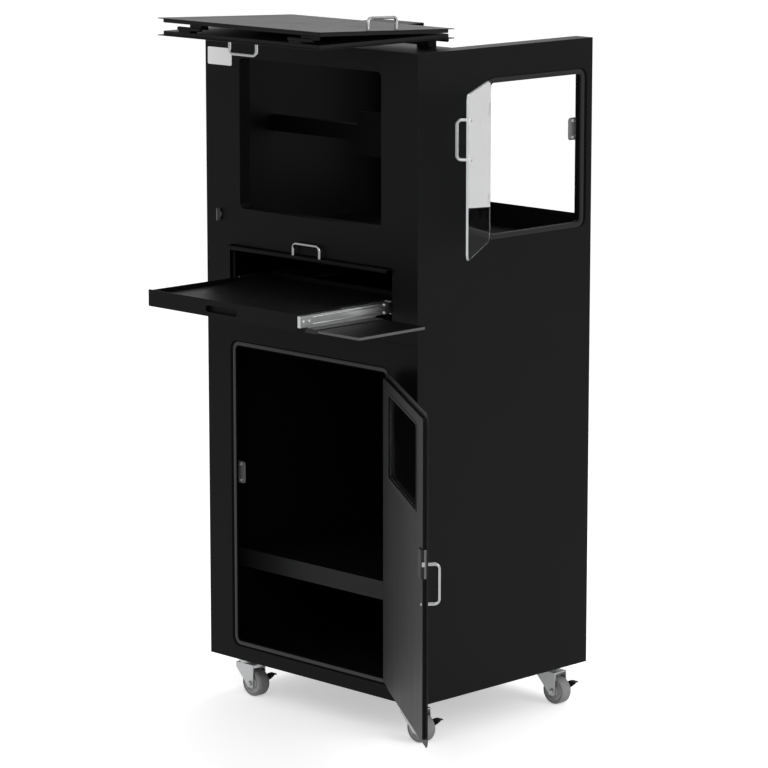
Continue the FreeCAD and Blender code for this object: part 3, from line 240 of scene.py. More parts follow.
mouldedLooks = {
    "castGrey": {"dark": 0.15, "light": 0.21, "rough": 0.5, "scale": 600.0, "bump": 0.08, "shine": 0.4},
    "brightScrew": {"dark": 0.5, "light": 0.62, "rough": 0.4, "scale": 900.0, "bump": 0.02, "shine": 0.6},
    "latchGrey": {"dark": 0.055, "light": 0.085, "rough": 0.45, "scale": 600.0, "bump": 0.06, "shine": 0.4},
    "edgeRubber": {"dark": 0.022, "light": 0.034, "rough": 0.55, "scale": 900.0, "bump": 0.1, "shine": 0.25},
    # black rubber of the door trim; also the colour of the dark rings that are painted shadow beside the seals
    "lipRubber": {"dark": 0.0014, "light": 0.0024, "rough": 0.7, "scale": 900.0, "bump": 0.1, "shine": 0.02},
    "sideGasket": {"dark": 0.008, "light": 0.014, "rough": 0.6, "scale": 900.0, "bump": 0.1, "shine": 0.15},
    "blackPlastic": {"dark": 0.006, "light": 0.011, "rough": 0.48, "scale": 700.0, "bump": 0.14,
                     "shine": 0.25},
    "greyTread": {"dark": 0.2, "light": 0.29, "rough": 0.72, "scale": 420.0, "bump": 0.2, "shine": 0.2},
    "hubGrey": {"dark": 0.32, "light": 0.43, "rough": 0.5, "scale": 500.0, "bump": 0.08, "shine": 0.35},
    "boardTop": {"dark": 0.0022, "light": 0.004, "rough": 0.42, "scale": 800.0, "bump": 0.1, "shine": 0.06},
    "boardEdging": {"dark": 0.055, "light": 0.085, "rough": 0.5, "scale": 700.0, "bump": 0.06, "shine": 0.3},
    "barePlate": {"dark": 0.86, "light": 0.92, "rough": 0.45, "scale": 500.0, "bump": 0.03, "shine": 0.4},
}
clearLooks = {
    "clearPane": {"colour": (0.97, 0.985, 0.985, 1), "rough": 0.01, "clear": 1.0},
    "paneEdge": {"colour": (0.86, 0.9, 0.9, 1), "rough": 0.16, "clear": 0.45},
}
makers = {powderCoat: coatLooks, steel: steelLooks, moulded: mouldedLooks, clearSheet: clearLooks}
finishes = {name: maker(name, look) for maker, looks in makers.items() for name, look in looks.items()}
print("finishes made:", len(finishes))


# modelling helpers

squareOn = 0.9  # a face counts as facing an axis when its normal has this share along it
edgeSlack = 0.0001
mergeDistance = 0.00001
flatAngle = 0.2


def clearSelection():
    if bpy.context.object and bpy.context.object.mode != "OBJECT":
        bpy.ops.object.mode_set(mode="OBJECT")
    bpy.ops.object.select_all(action="DESELECT")


def makeActive(piece):
    clearSelection()
    piece.select_set(True)
    bpy.context.view_layer.objects.active = piece
    return piece


def settle(piece):
    makeActive(piece)
    bpy.ops.object.transform_apply(location=True, rotation=True, scale=True)
    return piece


def startBlock(name, low, high):
    clearSelection()
    low = Vector(low)
    high = Vector(high)
    bpy.ops.mesh.primitive_cube_add(size=1, location=(low + high) / 2)
    piece = bpy.context.object
    piece.name = name
    piece.scale = high - low
    return settle(piece)


def pickFaces(piece, test):
    makeActive(piece)
    bpy.ops.object.mode_set(mode="EDIT")
    bpy.ops.mesh.select_mode(type="FACE")
    bpy.ops.mesh.select_all(action="DESELECT")
    bpy.ops.object.mode_set(mode="OBJECT")
    for face in piece.data.polygons:
        face.select = test(face.center, face.normal)
    bpy.ops.object.mode_set(mode="EDIT")


def pickEdges(piece, test):
    makeActive(piece)
    bpy.ops.object.mode_set(mode="EDIT")
    bpy.ops.mesh.select_mode(type="EDGE")
    bpy.ops.mesh.select_all(action="DESELECT")
    bpy.ops.object.mode_set(mode="OBJECT")
    points = piece.data.vertices
    for edge in piece.data.edges:
        first, second = [points[index].co for index in edge.vertices]
        edge.select = test(first, second)
    bpy.ops.object.mode_set(mode="EDIT")


def endEdit(piece):
    bpy.ops.object.mode_set(mode="OBJECT")
    return piece


def addModifier(piece, kind, settings):
    makeActive(piece)
    modifier = piece.modifiers.new(kind.title(), kind)
    for key, value in settings.items():
        setattr(modifier, key, value)
    bpy.ops.object.modifier_apply(modifier=modifier.name)
    return piece


def roundEdges(piece, width, segments=2, angle=40, edgeSlot=-1):
    return addModifier(piece, "BEVEL", {"width": width, "segments": segments, "limit_method": "ANGLE",
                                        "angle_limit": math.radians(angle), "material": edgeSlot,
                                        "harden_normals": False})


def smooth(piece, angle=35):
    makeActive(piece)
    bpy.ops.object.shade_smooth_by_angle(angle=math.radians(angle))
    return piece


def evenNormals(piece):
    # keeps broad flat faces flat next to their rounded edges
    return addModifier(piece, "WEIGHTED_NORMAL", {"keep_sharp": True, "weight": 100})


def paint(piece, *names):
    piece.data.materials.clear()
    for name in names:
        piece.data.materials.append(finishes[name])
    return piece


def tidyShell(piece):
    makeActive(piece)
    bpy.ops.object.mode_set(mode="EDIT")
    bpy.ops.mesh.select_all(action="SELECT")
    bpy.ops.mesh.remove_doubles(threshold=mergeDistance)
    bpy.ops.mesh.normals_make_consistent(inside=False)
    return endEdit(piece)


def copyPiece(master, name):
    makeActive(master)
    bpy.ops.object.duplicate()
    piece = bpy.context.object
    piece.name = name
    return piece


def movePiece(piece, turn):
    piece.matrix_world = turn @ piece.matrix_world
    return settle(piece)


def joinPieces(pieces, name):
    clearSelection()
    for piece in pieces:
        piece.select_set(True)
    bpy.context.view_layer.objects.active = pieces[0]
    bpy.ops.object.join()
    joined = bpy.context.object
    joined.name = name
    return joined


def faceAlong(spot, facing):
    return Matrix.Translation(Vector(spot)) @ Vector(facing).to_track_quat("Z", "Y").to_matrix().to_4x4()


def turnedRing(name, inner, outer, halfWidth, rounding, steps=48):
    # a ring about the Z axis at the origin: its rounded section is spun
    clearSelection()
    bpy.ops.mesh.primitive_plane_add(size=1, location=((inner + outer) / 2, 0, 0),
                                     rotation=(math.pi / 2, 0, 0))
    piece = bpy.context.object
    piece.name = name
    piece.scale = (outer - inner, 2 * halfWidth, 1)
    settle(piece)
    bpy.ops.object.mode_set(mode="EDIT")
    bpy.ops.mesh.select_all(action="SELECT")
    bpy.ops.mesh.bevel(offset=rounding, segments=4, affect="VERTICES")
    bpy.ops.mesh.select_all(action="SELECT")
    bpy.ops.mesh.delete(type="ONLY_FACE")
    bpy.ops.mesh.select_all(action="SELECT")
    bpy.ops.mesh.spin(steps=steps, angle=2 * math.pi, center=(0, 0, 0), axis=(0, 0, 1))
    endEdit(piece)
    return smooth(tidyShell(piece), angle=50)


def raisedBar(name, low, high, axis, bevel):
    # a block whose face at the high end of one axis has rounded edges
    bar = startBlock(name, low, high)
    top = high[axis] - edgeSlack
    pickEdges(bar, lambda first, second: first[axis] > top and second[axis] > top)
    bpy.ops.mesh.bevel(offset=bevel, segments=3)
    return endEdit(bar)


def hingeTurn(joint, degrees, axis):
    pivot = Vector(joints[joint]["pos_m"])
    turn = Matrix.Rotation(math.radians(degrees), 4, axis)
    return Matrix.Translation(pivot) @ turn @ Matrix.Translation(-pivot)


# turns that bring a closed door to where the photograph shows it
swings = {"lowerDoor": hingeTurn("lower_door_hinge", 145, "Z"),
          "sideDoor": hingeTurn("side_door_hinge", -145, "Z")}


# sheet-metal and hardware nodes, redrawn with rounded edges

softEdges = {
    "blackCoat": {
        "width": 0.0009, "slot": "black_sheet",
        "nodes": ["lower_front_panel", "lower_left_side", "lower_right_side", "lower_back_panel",
                  "upper_front_panel", "upper_left_side", "upper_right_side", "upper_back_panel",
                  "roof_panel", "keyboard_tray", "lower_door_panel", "flap_panel"]},
    # inner parts take the darker copy of the coat: painted shade
    "innerCoat": {
        "width": 0.0007, "slot": "black_sheet",
        "nodes": ["base_pan", "lower_deck", "printer_shelf", "printer_deck", "keyboard_bay_floor",
                  "monitor_shroud", "monitor_rail", "monitor_mount_plate", "flap_tracks"]},
    "hatchCoat": {"width": 0.0009, "slot": "black_sheet", "nodes": ["roof_leaf_panel", "rear_leaf_panel"]},
    "hingeBlack": {
        "width": 0.0008, "slot": "black_hinge",
        "nodes": ["hinge_leaves", "lower_hinge_straps", "side_hinge_straps", "roof_hinge_straps",
                  "fold_hinge_lower", "fold_hinge_upper"]},
}
plainEdges = {
    "zincPlate": {"width": 0.0004, "slot": "zinc",
                  "nodes": ["slide_channels", "tray_slide_middles", "tray_slide_inners", "mouse_carriage",
                            "flap_carriage"]},
    "castGrey": {"width": 0.0008, "slot": "zinc", "nodes": ["door_strikes"]},
    "latchGrey": {"width": 0.0012, "slot": "zinc", "nodes": ["front_latch"]},
    "pressedZinc": {"width": 0.0008, "slot": "zinc",
                    "nodes": ["caster_plates", "front_left_fork", "front_right_fork", "rear_left_fork",
                              "rear_right_fork"]},
    "polishedRod": {"width": 0.0003, "slot": "bright_rod",
                    "nodes": ["lower_door_handle", "side_door_handle", "roof_leaf_handle", "rear_leaf_handle",
                              "flap_handle"]},
    "lipRubber": {"width": 0.0014, "slot": "edge_rubber", "nodes": ["lower_edge_trim"]},
    "sideGasket": {"width": 0.0014, "slot": "edge_rubber", "nodes": ["side_edge_trim"]},
    "blackPlastic": {"width": 0.0009, "slot": "black_plastic",
                     "nodes": ["front_left_pedal", "front_right_pedal", "rear_left_pedal", "rear_right_pedal",
                               "lower_door_catch"]},
}


def redrawNode(node, width, names, segments=2):
    # the CAD mesh with doubles merged, flat faces joined and edges rounded; the second finish is on the edges
    piece = bpy.data.objects.new(node + "_soft", cadNodes[node].data.copy())
    bpy.context.scene.collection.objects.link(piece)
    makeActive(piece)
    bpy.ops.object.mode_set(mode="EDIT")
    bpy.ops.mesh.select_all(action="SELECT")
    bpy.ops.mesh.remove_doubles(threshold=mergeDistance)
    bpy.ops.mesh.dissolve_limited(angle_limit=math.radians(flatAngle))
    endEdit(piece)
    paint(piece, *names)
    for face in piece.data.polygons:
        face.material_index = 0
    roundEdges(piece, width, segments, edgeSlot=min(len(names) - 1, 1))
    evenNormals(smooth(piece, angle=32))
    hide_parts(node)
    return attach(piece, nodeBody[node])


def repaintFaces(piece, name, test, turn=None):
    # gives the faces that pass the test another finish; turn is the swing that the test undoes first
    piece.data.materials.append(finishes[name])
    back = (turn or Matrix()).inverted()
    for face in piece.data.polygons:
        if test(back @ face.center, back.to_3x3() @ face.normal):
            face.material_index = len(piece.data.materials) - 1
    return piece


softPieces = {}
for finishName, group in softEdges.items():
    for node in group["nodes"]:
        # the second finish on the bevels is the lighter edge coat: rubbed wear and painted highlight
        softPieces[node] = redrawNode(node, group["width"], [finishName, "coatEdge"])
for finishName, group in plainEdges.items():
    for node in group["nodes"]:
        softPieces[node] = redrawNode(node, group["width"], [finishName], 3)
print("rounded nodes:", len(softPieces))

# faces that differ from the rest of their node; the shelf lip and the door's back take lighter copies of the coat
# as painted light
accents = {"shelfLipY": -0.233, "lipFacing": -0.6, "doorBackY": -0.3385, "backFacing": 0.3, "sleeveZ": 1.0435,
           "catchPlateY": -0.3316, "boltX": -0.2878, "boltZ": (0.5085, 0.5215)}
# shelf lip faces: lighter coat as painted light
repaintFaces(softPieces["printer_shelf"], "shelfCoat",
             lambda centre, normal: normal.y < accents["lipFacing"] and centre.y < accents["shelfLipY"])
# door's inner face: lighter coat as painted light
repaintFaces(softPieces["lower_door_panel"], "doorBackCoat",
             lambda centre, normal: normal.y > accents["backFacing"] and centre.y > accents["doorBackY"],
             swings["lowerDoor"])
repaintFaces(softPieces["mouse_carriage"], "blackPlastic",
             lambda centre, normal: centre.z < accents["sleeveZ"])
repaintFaces(softPieces["lower_door_catch"], "castGrey",
             lambda centre, normal: centre.y < accents["catchPlateY"], swings["lowerDoor"])
repaintFaces(softPieces["lower_door_catch"], "polishedRod",
             lambda centre, normal: centre.x < accents["boltX"]
             and accents["boltZ"][0] < centre.z < accents["boltZ"][1], swings["lowerDoor"])
print("accent faces painted")


# clear panes: polished faces and duller sawn edges

paneLook = {"nodes": ["side_door_pane", "lower_door_window"], "bevel": 0.0006, "broadShare": 0.02,
            "upright": 0.2}
for node in paneLook["nodes"]:
    pane = redrawNode(node, paneLook["bevel"], ["clearPane", "paneEdge"])
    broadArea = max(face.area for face in pane.data.polygons) * paneLook["broadShare"]
    for face in pane.data.polygons:
        broad = face.area > broadArea and abs(face.normal.z) < paneLook["upright"]
        face.material_index = 0 if broad else 1
print("panes done")


# mouse board: black laminate with a light edging strip all round

boardLook = {"bevel": 0.0012, "finishes": ["boardTop", "boardEdging"], "edgeFacing": 0.6}
mouseBoard = redrawNode("mouse_board", boardLook["bevel"], boardLook["finishes"], 3)
for face in mouseBoard.data.polygons:
    face.material_index = 1 if abs(face.normal.z) < boardLook["edgeFacing"] else 0
print("mouse board done")


# screws: one pan head with a round socket, copied to every fixing

screwLook = {"radius": 0.0042, "height": 0.0022, "socket": 0.0021, "depth": 0.0011, "shoulder": 0.3,
             "crown": 0.18, "bevel": 0.0002}


def makeScrew(name, look):
    clearSelection()
    bpy.ops.mesh.primitive_cylinder_add(vertices=24, radius=look["radius"], depth=look["height"],
                                        location=(0, 0, look["height"] / 2))
    piece = bpy.context.object
    piece.name = name
    settle(piece)
    pickFaces(piece, lambda centre, normal: normal.z > squareOn)
    bpy.ops.mesh.inset(thickness=look["radius"] * look["shoulder"])
    bpy.ops.transform.translate(value=(0, 0, look["height"] * look["crown"]))
    bpy.ops.mesh.inset(thickness=look["radius"] * (1 - look["shoulder"]) - look["socket"])
    bpy.ops.mesh.extrude_region_move(TRANSFORM_OT_translate={"value": (0, 0, -look["depth"])})
    endEdit(piece)
    return smooth(paint(roundEdges(piece, look["bevel"], angle=30), "zincPlate"), angle=40)


screwMaster = makeScrew("screwMaster", screwLook)


def setScrews(name, body, places, turn=None, finishName="zincPlate", scale=1.0):
    copies = []
    for number, (spot, facing) in enumerate(places):
        copy = copyPiece(screwMaster, f"{name}{number}")
        copies.append(movePiece(copy, faceAlong(spot, facing) @ Matrix.Scale(scale, 4)))
    piece = paint(joinPieces(copies, name), finishName)
    if turn:
        movePiece(piece, turn)
    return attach(piece, body)


def screwPair(middle, half, facing):
    # two screws, one above the other
    x, y, z = middle
    return [((x, y, z + side * half), facing) for side in (-1, 1)]


hingeScrews = {"leafRises": (0.009, 0.025), "strapRise": 0.0515, "scale": 0.9}
lowerHinges = {"leafX": 0.329, "leafY": -0.341, "strapX": (0.275, 0.289), "strapY": -0.3425,
               "starts": (0.167, 0.709)}
sideHinges = {"leafX": 0.412, "leafY": -0.104, "strapX": 0.4175, "strapY": (-0.062, -0.050),
              "starts": (1.286, 1.521)}
setScrews("lowerLeafScrews", "cabinet",
          [((lowerHinges["leafX"], lowerHinges["leafY"], start + rise), (0, -1, 0))
           for start in lowerHinges["starts"] for rise in hingeScrews["leafRises"]],
          None, "hingeBlack", hingeScrews["scale"])
setScrews("lowerStrapScrews", "lower_door",
          [((x, lowerHinges["strapY"], start + hingeScrews["strapRise"]), (0, -1, 0))
           for start in lowerHinges["starts"] for x in lowerHinges["strapX"]],
          swings["lowerDoor"], "hingeBlack", hingeScrews["scale"])
setScrews("sideLeafScrews", "cabinet",
          [((sideHinges["leafX"], sideHinges["leafY"], start + rise), (1, 0, 0))
           for start in sideHinges["starts"] for rise in hingeScrews["leafRises"]],
          None, "hingeBlack", hingeScrews["scale"])
setScrews("sideStrapScrews", "side_door",
          [((sideHinges["strapX"], y, start + hingeScrews["strapRise"]), (1, 0, 0))
           for start in sideHinges["starts"] for y in sideHinges["strapY"]],
          swings["sideDoor"], "hingeBlack", hingeScrews["scale"])
handleScrews = {"lower": (-0.276, -0.3275, 0.462), "side": (0.4085, 0.249, 1.529), "half": 0.0508}
setScrews("lowerHandleScrews", "lower_door",
          screwPair(handleScrews["lower"], handleScrews["half"], (0, 1, 0)), swings["lowerDoor"])
setScrews("sideHandleScrews", "side_door",
          screwPair(handleScrews["side"], handleScrews["half"], (-1, 0, 0)), swings["sideDoor"])
slideScrews = {"x": 0.301, "z": 1.061, "frontY": (-0.643, -0.623), "backY": -0.352, "half": 0.010}
slideBack = (slideScrews["x"], slideScrews["backY"], slideScrews["z"])
setScrews("carriageScrews", "mouse_slide",
          [((slideScrews["x"], y, slideScrews["z"]), (1, 0, 0)) for y in slideScrews["frontY"]]
          + screwPair(slideBack, slideScrews["half"], (1, 0, 0)))
strikeScrews = {"lower": (-0.3055, -0.3065, 0.526), "side": (0.3775, 0.2875, 1.487), "half": 0.0225}
setScrews("strikeScrews", "cabinet",
          screwPair(strikeScrews["lower"], strikeScrews["half"], (0, -1, 0))
          + screwPair(strikeScrews["side"], strikeScrews["half"], (1, 0, 0)), None, "brightScrew")
casterSpots = {"front_left": (-0.3245, -0.269), "front_right": (0.3245, -0.269),
               "rear_left": (-0.3245, 0.269), "rear_right": (0.3245, 0.269)}
casterBolts = {"half": 0.023, "z": -0.004, "scale": 1.3}
setScrews("casterBolts", "cabinet",
          [((x + across * casterBolts["half"], y + along * casterBolts["half"], casterBolts["z"]), (0, 0, -1))
           for x, y in casterSpots.values() for across in (-1, 1) for along in (-1, 1)],
          None, "pressedZinc", casterBolts["scale"])
print("screws set")


# bare plate on the front

plateLook = {"low": (-0.395, -0.3365, 1.653), "high": (-0.300, -0.335, 1.700), "corner": 0.004, "rim": 0.0022,
             "sink": 0.0004, "bevel": 0.0003}
plate = startBlock("barePlate", plateLook["low"], plateLook["high"])
pickEdges(plate, lambda first, second: abs(first.y - second.y) > edgeSlack)
bpy.ops.mesh.bevel(offset=plateLook["corner"], segments=5)
endEdit(plate)
pickFaces(plate, lambda centre, normal: normal.y < -squareOn)
bpy.ops.mesh.inset(thickness=plateLook["rim"])
bpy.ops.transform.translate(value=(0, plateLook["sink"], 0))
endEdit(plate)
paint(roundEdges(plate, plateLook["bevel"]), "barePlate")
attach(smooth(plate), "cabinet")
print("front plate done")


# casters: moulded tyre, lighter hub, axle nuts, ball race and lever ribs, modelled once and copied

wheelLook = {"trail": 0.033, "axle": -0.0785, "tyre": (0.0288, 0.03795, 0.018, 0.0062),
             "web": (0.0145, 0.0292, 0.0120, 0.002), "boss": (0.0052, 0.0162, 0.0180, 0.002),
             "rim": (0.0258, 0.0292, 0.0172, 0.0012), "race": (0.0065, 0.0244, 0.0044, 0.003),
             "raceZ": (-0.0087, -0.0186)}
tyreMaster = paint(turnedRing("tyreMaster", *wheelLook["tyre"], 64), "greyTread")
hubParts = [turnedRing("hubWeb", *wheelLook["web"], 64), turnedRing("hubBoss", *wheelLook["boss"], 48),
            turnedRing("hubRim", *wheelLook["rim"], 64)]
hubMaster = joinPieces([paint(part, "hubGrey") for part in hubParts], "hubMaster")
raceMaster = paint(turnedRing("raceMaster", *wheelLook["race"], 48), "pressedZinc")
nutLook = {"radius": 0.0082, "height": 0.0045, "shoulder": 0.0022, "stub": 0.002, "bevel": 0.0005,
           "out": {-1: -0.0264, 1: 0.0300}}
clearSelection()
bpy.ops.mesh.primitive_cylinder_add(vertices=6, radius=nutLook["radius"], depth=nutLook["height"])
nutMaster = bpy.context.object
nutMaster.name = "nutMaster"
settle(nutMaster)
pickFaces(nutMaster, lambda centre, normal: normal.z > squareOn)
bpy.ops.mesh.inset(thickness=nutLook["shoulder"])
bpy.ops.mesh.extrude_region_move(TRANSFORM_OT_translate={"value": (0, 0, nutLook["stub"])})
endEdit(nutMaster)
smooth(paint(roundEdges(nutMaster, nutLook["bevel"], angle=30), "pressedZinc"))
leverRibs = {"along": (0.0275, 0.0335, 0.0395), "half": 0.0011, "y": (0.0260, 0.0362), "z": (0.0258, 0.0269),
             "bevel": 0.0008}
ribs = []
for number, along in enumerate(leverRibs["along"]):
    low = (along - leverRibs["half"], leverRibs["y"][0], leverRibs["z"][0])
    high = (along + leverRibs["half"], leverRibs["y"][1], leverRibs["z"][1])
    ribs.append(raisedBar(f"rib{number}", low, high, 2, leverRibs["bevel"]))
ribMaster = smooth(paint(joinPieces(ribs, "ribMaster"), "blackPlastic"))
for place, (x, y) in casterSpots.items():
    centre = (x + wheelLook["trail"], y, wheelLook["axle"])
    tyre = movePiece(copyPiece(tyreMaster, f"{place}_tyre"), faceAlong(centre, (0, 1, 0)))
    hub = movePiece(copyPiece(hubMaster, f"{place}_hub"), faceAlong(centre, (0, 1, 0)))
    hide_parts(f"{place}_wheel")
    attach(tyre, f"{place}_roller")
    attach(hub, f"{place}_roller")
    nuts = []
    for side in (-1, 1):
        spot = (centre[0], y + nutLook["out"][side], centre[2])
        nuts.append(movePiece(copyPiece(nutMaster, f"{place}_nut{side}"), faceAlong(spot, (0, side, 0))))
    axleNuts = joinPieces(nuts, f"{place}_axle_nuts")
    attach(axleNuts, f"{place}_swivel")
    rings = [movePiece(copyPiece(raceMaster, f"{place}_ring{number}"), Matrix.Translation((x, y, z)))
             for number, z in enumerate(wheelLook["raceZ"])]
    race = joinPieces(rings, f"{place}_race")
    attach(race, "cabinet")
    ribs = movePiece(copyPiece(ribMaster, f"{place}_lever_ribs"), Matrix.Translation(centre))
    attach(ribs, f"{place}_brake")
for master in (tyreMaster, hubMaster, raceMaster, nutMaster, ribMaster, screwMaster):
    bpy.data.objects.remove(master)
print("casters done")


# frames: seals around the openings, each with a dark ring of painted shadow shifted out along two sides, the side
# opening's reveal, the window's seals

def frameRing(name, look):
    # a rounded rectangle about the origin in X and Y, opened in the middle and given depth along Z
    clearSelection()
    bpy.ops.mesh.primitive_plane_add(size=1)
    piece = bpy.context.object
    piece.name = name
    piece.scale = (*look["size"], 1)
    settle(piece)
    bpy.ops.object.mode_set(mode="EDIT")
    bpy.ops.mesh.select_all(action="SELECT")
    bpy.ops.mesh.bevel(offset=look["corner"], segments=8, affect="VERTICES")
    bpy.ops.mesh.select_all(action="SELECT")
    bpy.ops.mesh.inset(thickness=look["width"])
    bpy.ops.mesh.delete(type="FACE")
    bpy.ops.mesh.select_all(action="SELECT")
    bpy.ops.mesh.extrude_region_move(TRANSFORM_OT_translate={"value": (0, 0, look["depth"])})
    bpy.ops.mesh.select_all(action="SELECT")
    bpy.ops.mesh.normals_make_consistent(inside=False)
    endEdit(piece)
    return smooth(roundEdges(piece, look["rounding"]))


frontFacing = Matrix.Rotation(math.pi / 2, 4, "X")  # depth runs along -Y
sideFacing = Matrix(((0, 0, 1, 0), (1, 0, 0, 0), (0, 1, 0, 0), (0, 0, 0, 1)))  # depth runs along +X
frames = {
    "lowerSeal": {
        "finish": "edgeRubber", "body": "cabinet", "facing": frontFacing, "centre": (0, -0.335, 0.472),
        "size": (0.605, 0.855), "corner": 0.023, "width": 0.010, "depth": 0.0022, "rounding": 0.0019},
    # dark ring shifted left and down from the seal so it shows only there: painted shadow of the seal on the front
    # panel
    "lowerSealShadow": {
        "finish": "lipRubber", "body": "cabinet", "facing": frontFacing, "centre": (-0.005, -0.335, 0.46975),
        "size": (0.619, 0.8635), "corner": 0.026, "width": 0.0115, "depth": 0.0006, "rounding": 0.0002},
    "sideSeal": {
        "finish": "sideGasket", "body": "cabinet", "facing": sideFacing, "centre": (0.406, 0.112, 1.4375),
        "size": (0.379, 0.428), "corner": 0.0235, "width": 0.010, "depth": 0.0018, "rounding": 0.0015},
    # dark ring shifted toward +Y from the seal so it shows only there: painted shadow of the seal on the side
    # panel
    "sideSealShadow": {
        "finish": "lipRubber", "body": "cabinet", "facing": sideFacing, "centre": (0.406, 0.117, 1.4375),
        "size": (0.393, 0.430), "corner": 0.026, "width": 0.0105, "depth": 0.0006, "rounding": 0.0002},
    # the reveal takes the interior's darker coat: painted shade in the jamb
    "sideReveal": {
        "finish": "innerCoat", "body": "cabinet", "facing": sideFacing, "centre": (0.389, 0.112, 1.4375),
        "size": (0.3598, 0.4088), "corner": 0.0148, "width": 0.003, "depth": 0.0132, "rounding": 0.0009},
    "windowSealOuter": {
        "finish": "sideGasket", "body": "lower_door", "facing": frontFacing, "centre": (0, -0.3395, 0.7425),
        "size": (0.402, 0.217), "corner": 0.021, "width": 0.008, "depth": 0.0016, "rounding": 0.0006},
    "windowSealInner": {
        "finish": "sideGasket", "body": "lower_door", "facing": frontFacing, "centre": (0, -0.3259, 0.7425),
        "size": (0.418, 0.233), "corner": 0.022, "width": 0.007, "depth": 0.0016, "rounding": 0.0006},
}
for name, look in frames.items():
    ring = paint(frameRing(name, look), look["finish"])
    movePiece(ring, Matrix.Translation(look["centre"]) @ look["facing"])
    if look["body"] == "lower_door":
        movePiece(ring, swings["lowerDoor"])
    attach(ring, look["body"])
print("frames done:", len(frames))


# long ribs rolled into the mouse slide's outer face

slideRibs = {"x": (0.3006, 0.3017), "y": (-0.610, -0.385), "levels": (1.0522, 1.0698), "half": 0.0016,
             "bevel": 0.0009}
ribs = []
for number, level in enumerate(slideRibs["levels"]):
    low = (slideRibs["x"][0], slideRibs["y"][0], level - slideRibs["half"])
    high = (slideRibs["x"][1], slideRibs["y"][1], level + slideRibs["half"])
    ribs.append(raisedBar(f"slideRib{number}", low, high, 0, slideRibs["bevel"]))
rolledRibs = smooth(paint(joinPieces(ribs, "slideRibs"), "zincPlate"))
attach(rolledRibs, "mouse_slide")
print("slide ribs done")


# stop strips inside the keyboard opening's two sides

jambStops = {"x": (0.3035, 0.3142), "y": (-0.3262, -0.3235), "z": (1.0255, 1.1500), "bevel": 0.0008}
stops = []
for side in (-1, 1):
    edges = sorted(side * x for x in jambStops["x"])
    stop = startBlock(f"jambStop{side}", (edges[0], jambStops["y"][0], jambStops["z"][0]),
                      (edges[1], jambStops["y"][1], jambStops["z"][1]))
    stops.append(roundEdges(stop, jambStops["bevel"]))
jamb = smooth(paint(joinPieces(stops, "jambStops"), "blackCoat"))
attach(jamb, "cabinet")
print("jamb stops done")


# raised strip along the flap's front rim

flapStrip = {"low": (-0.308, -0.3528, 1.1545), "high": (0.308, -0.3510, 1.1638), "bevel": 0.0011}
stripFront = flapStrip["low"][1] + edgeSlack
strip = startBlock("flapStrip", flapStrip["low"], flapStrip["high"])
pickEdges(strip, lambda first, second: abs(first.x - second.x) > edgeSlack
          and first.y < stripFront and second.y < stripFront)
bpy.ops.mesh.bevel(offset=flapStrip["bevel"], segments=3)
endEdit(strip)
paint(strip, "blackCoat")
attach(smooth(strip), "flap")
print("flap strip done")


# stage: pale floor, soft light, camera at the photograph's angle

stageLook = {"floorZ": -0.1167, "floorSize": 160.0, "floor": 0.9, "mottle": 0.01, "mottleScale": 1.5,
             "mottleDetail": 2.0, "rough": 0.9, "shine": 0.1, "fill": 0.62, "glow": 0.46}
clearSelection()
bpy.ops.mesh.primitive_plane_add(size=stageLook["floorSize"], location=(0, 0, stageLook["floorZ"]))
floor = bpy.context.object
floor.name = "studioFloor"
settle(floor)
floorFinish = newFinish("studioFloor")
mottle = floorFinish.noise(floorFinish.spot(), stageLook["mottleScale"], stageLook["mottleDetail"])
floorColour = floorFinish.blend(mottle, grey(stageLook["floor"] - stageLook["mottle"]),
                                grey(stageLook["floor"] + stageLook["mottle"]))
floor.data.materials.append(floorFinish.shade({"Base Color": floorColour, "Roughness": stageLook["rough"],
                                               "Specular IOR Level": stageLook["shine"]}))
plainFloor = Wire(floorFinish, floorFinish.tree.nodes["Principled BSDF"].outputs[0])
glow = floorFinish.add("ShaderNodeEmission", {}, {"Color": (1, 1, 1, 1), "Strength": stageLook["glow"]})
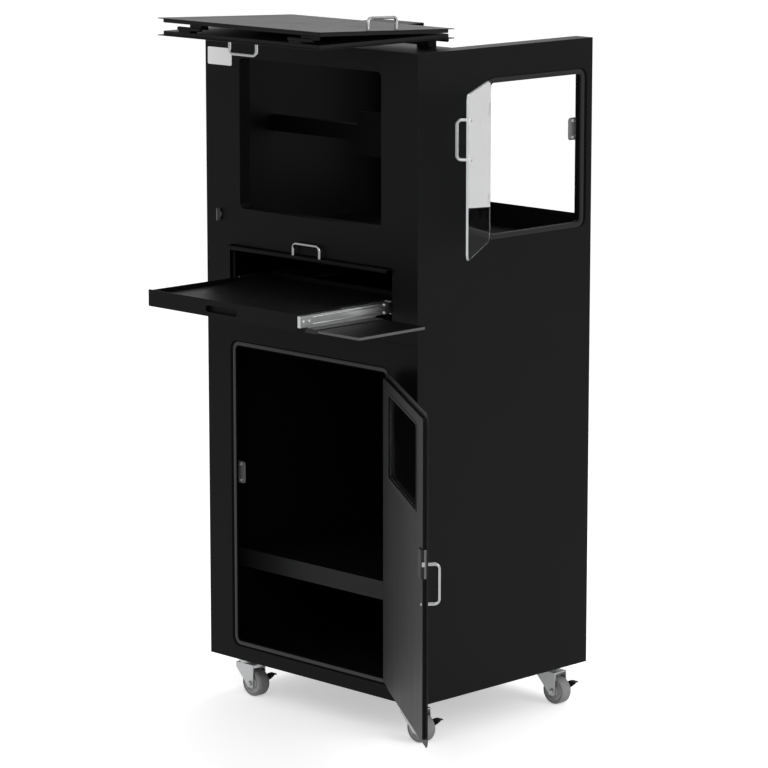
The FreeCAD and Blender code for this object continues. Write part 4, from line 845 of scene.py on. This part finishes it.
lifted = floorFinish.add("ShaderNodeAddShader", {}, {0: plainFloor, 1: glow})
shownFloor = floorFinish.add("ShaderNodeMixShader", {}, {0: floorFinish.seen(), 1: plainFloor, 2: lifted})
floorFinish.fill(floorFinish.tree.nodes["Material Output"].inputs["Surface"], shownFloor)

world = bpy.data.worlds.new("studioWorld")
bpy.context.scene.world = world
sky = Finish(world)
background = sky.tree.nodes["Background"]
background.inputs["Color"].default_value = (1, 1, 1, 1)
sky.fill(background.inputs["Strength"], stageLook["fill"] + sky.seen() * (1 - stageLook["fill"]))

lamps = {
    "keyLamp": {"spot": (2.6, -3.6, 3.4), "aim": (0, 0, 0.9), "size": 2.6, "power": 62},
    "sideLamp": {"spot": (4.2, 0.8, 2.2), "aim": (0, 0, 0.9), "size": 2.4, "power": 55},
    "topLamp": {"spot": (-0.8, 1.4, 4.6), "aim": (0, 0, 1.2), "size": 3.0, "power": 60},
}
for name, look in lamps.items():
    clearSelection()
    bpy.ops.object.light_add(type="AREA", location=look["spot"])
    lamp = bpy.context.object
    lamp.name = name
    lamp.data.shape = "DISK"
    lamp.data.size = look["size"]
    lamp.data.energy = look["power"]
    lamp.rotation_euler = (Vector(look["aim"]) - Vector(look["spot"])).to_track_quat("-Z", "Y").to_euler()

view = {"azimuth": 45.13, "elevation": 10.69, "distance": 9.9617, "target": (-0.0541, 0, 0.7667),
        "sensor": 36, "focalPixels": 3604, "photoPixels": 768, "reach": 200}
azimuth = math.radians(view["azimuth"])
elevation = math.radians(view["elevation"])
outward = Vector((math.sin(azimuth) * math.cos(elevation), -math.cos(azimuth) * math.cos(elevation),
                  math.sin(elevation)))
clearSelection()
bpy.ops.object.camera_add(location=Vector(view["target"]) + outward * view["distance"])
camera = bpy.context.object
camera.rotation_euler = (-outward).to_track_quat("-Z", "Y").to_euler()
camera.data.sensor_width = view["sensor"]
camera.data.lens = view["sensor"] * view["focalPixels"] / view["photoPixels"]
camera.data.clip_end = view["reach"]
bpy.context.scene.camera = camera
bpy.context.scene.view_settings.view_transform = "Standard"
print("stage set")
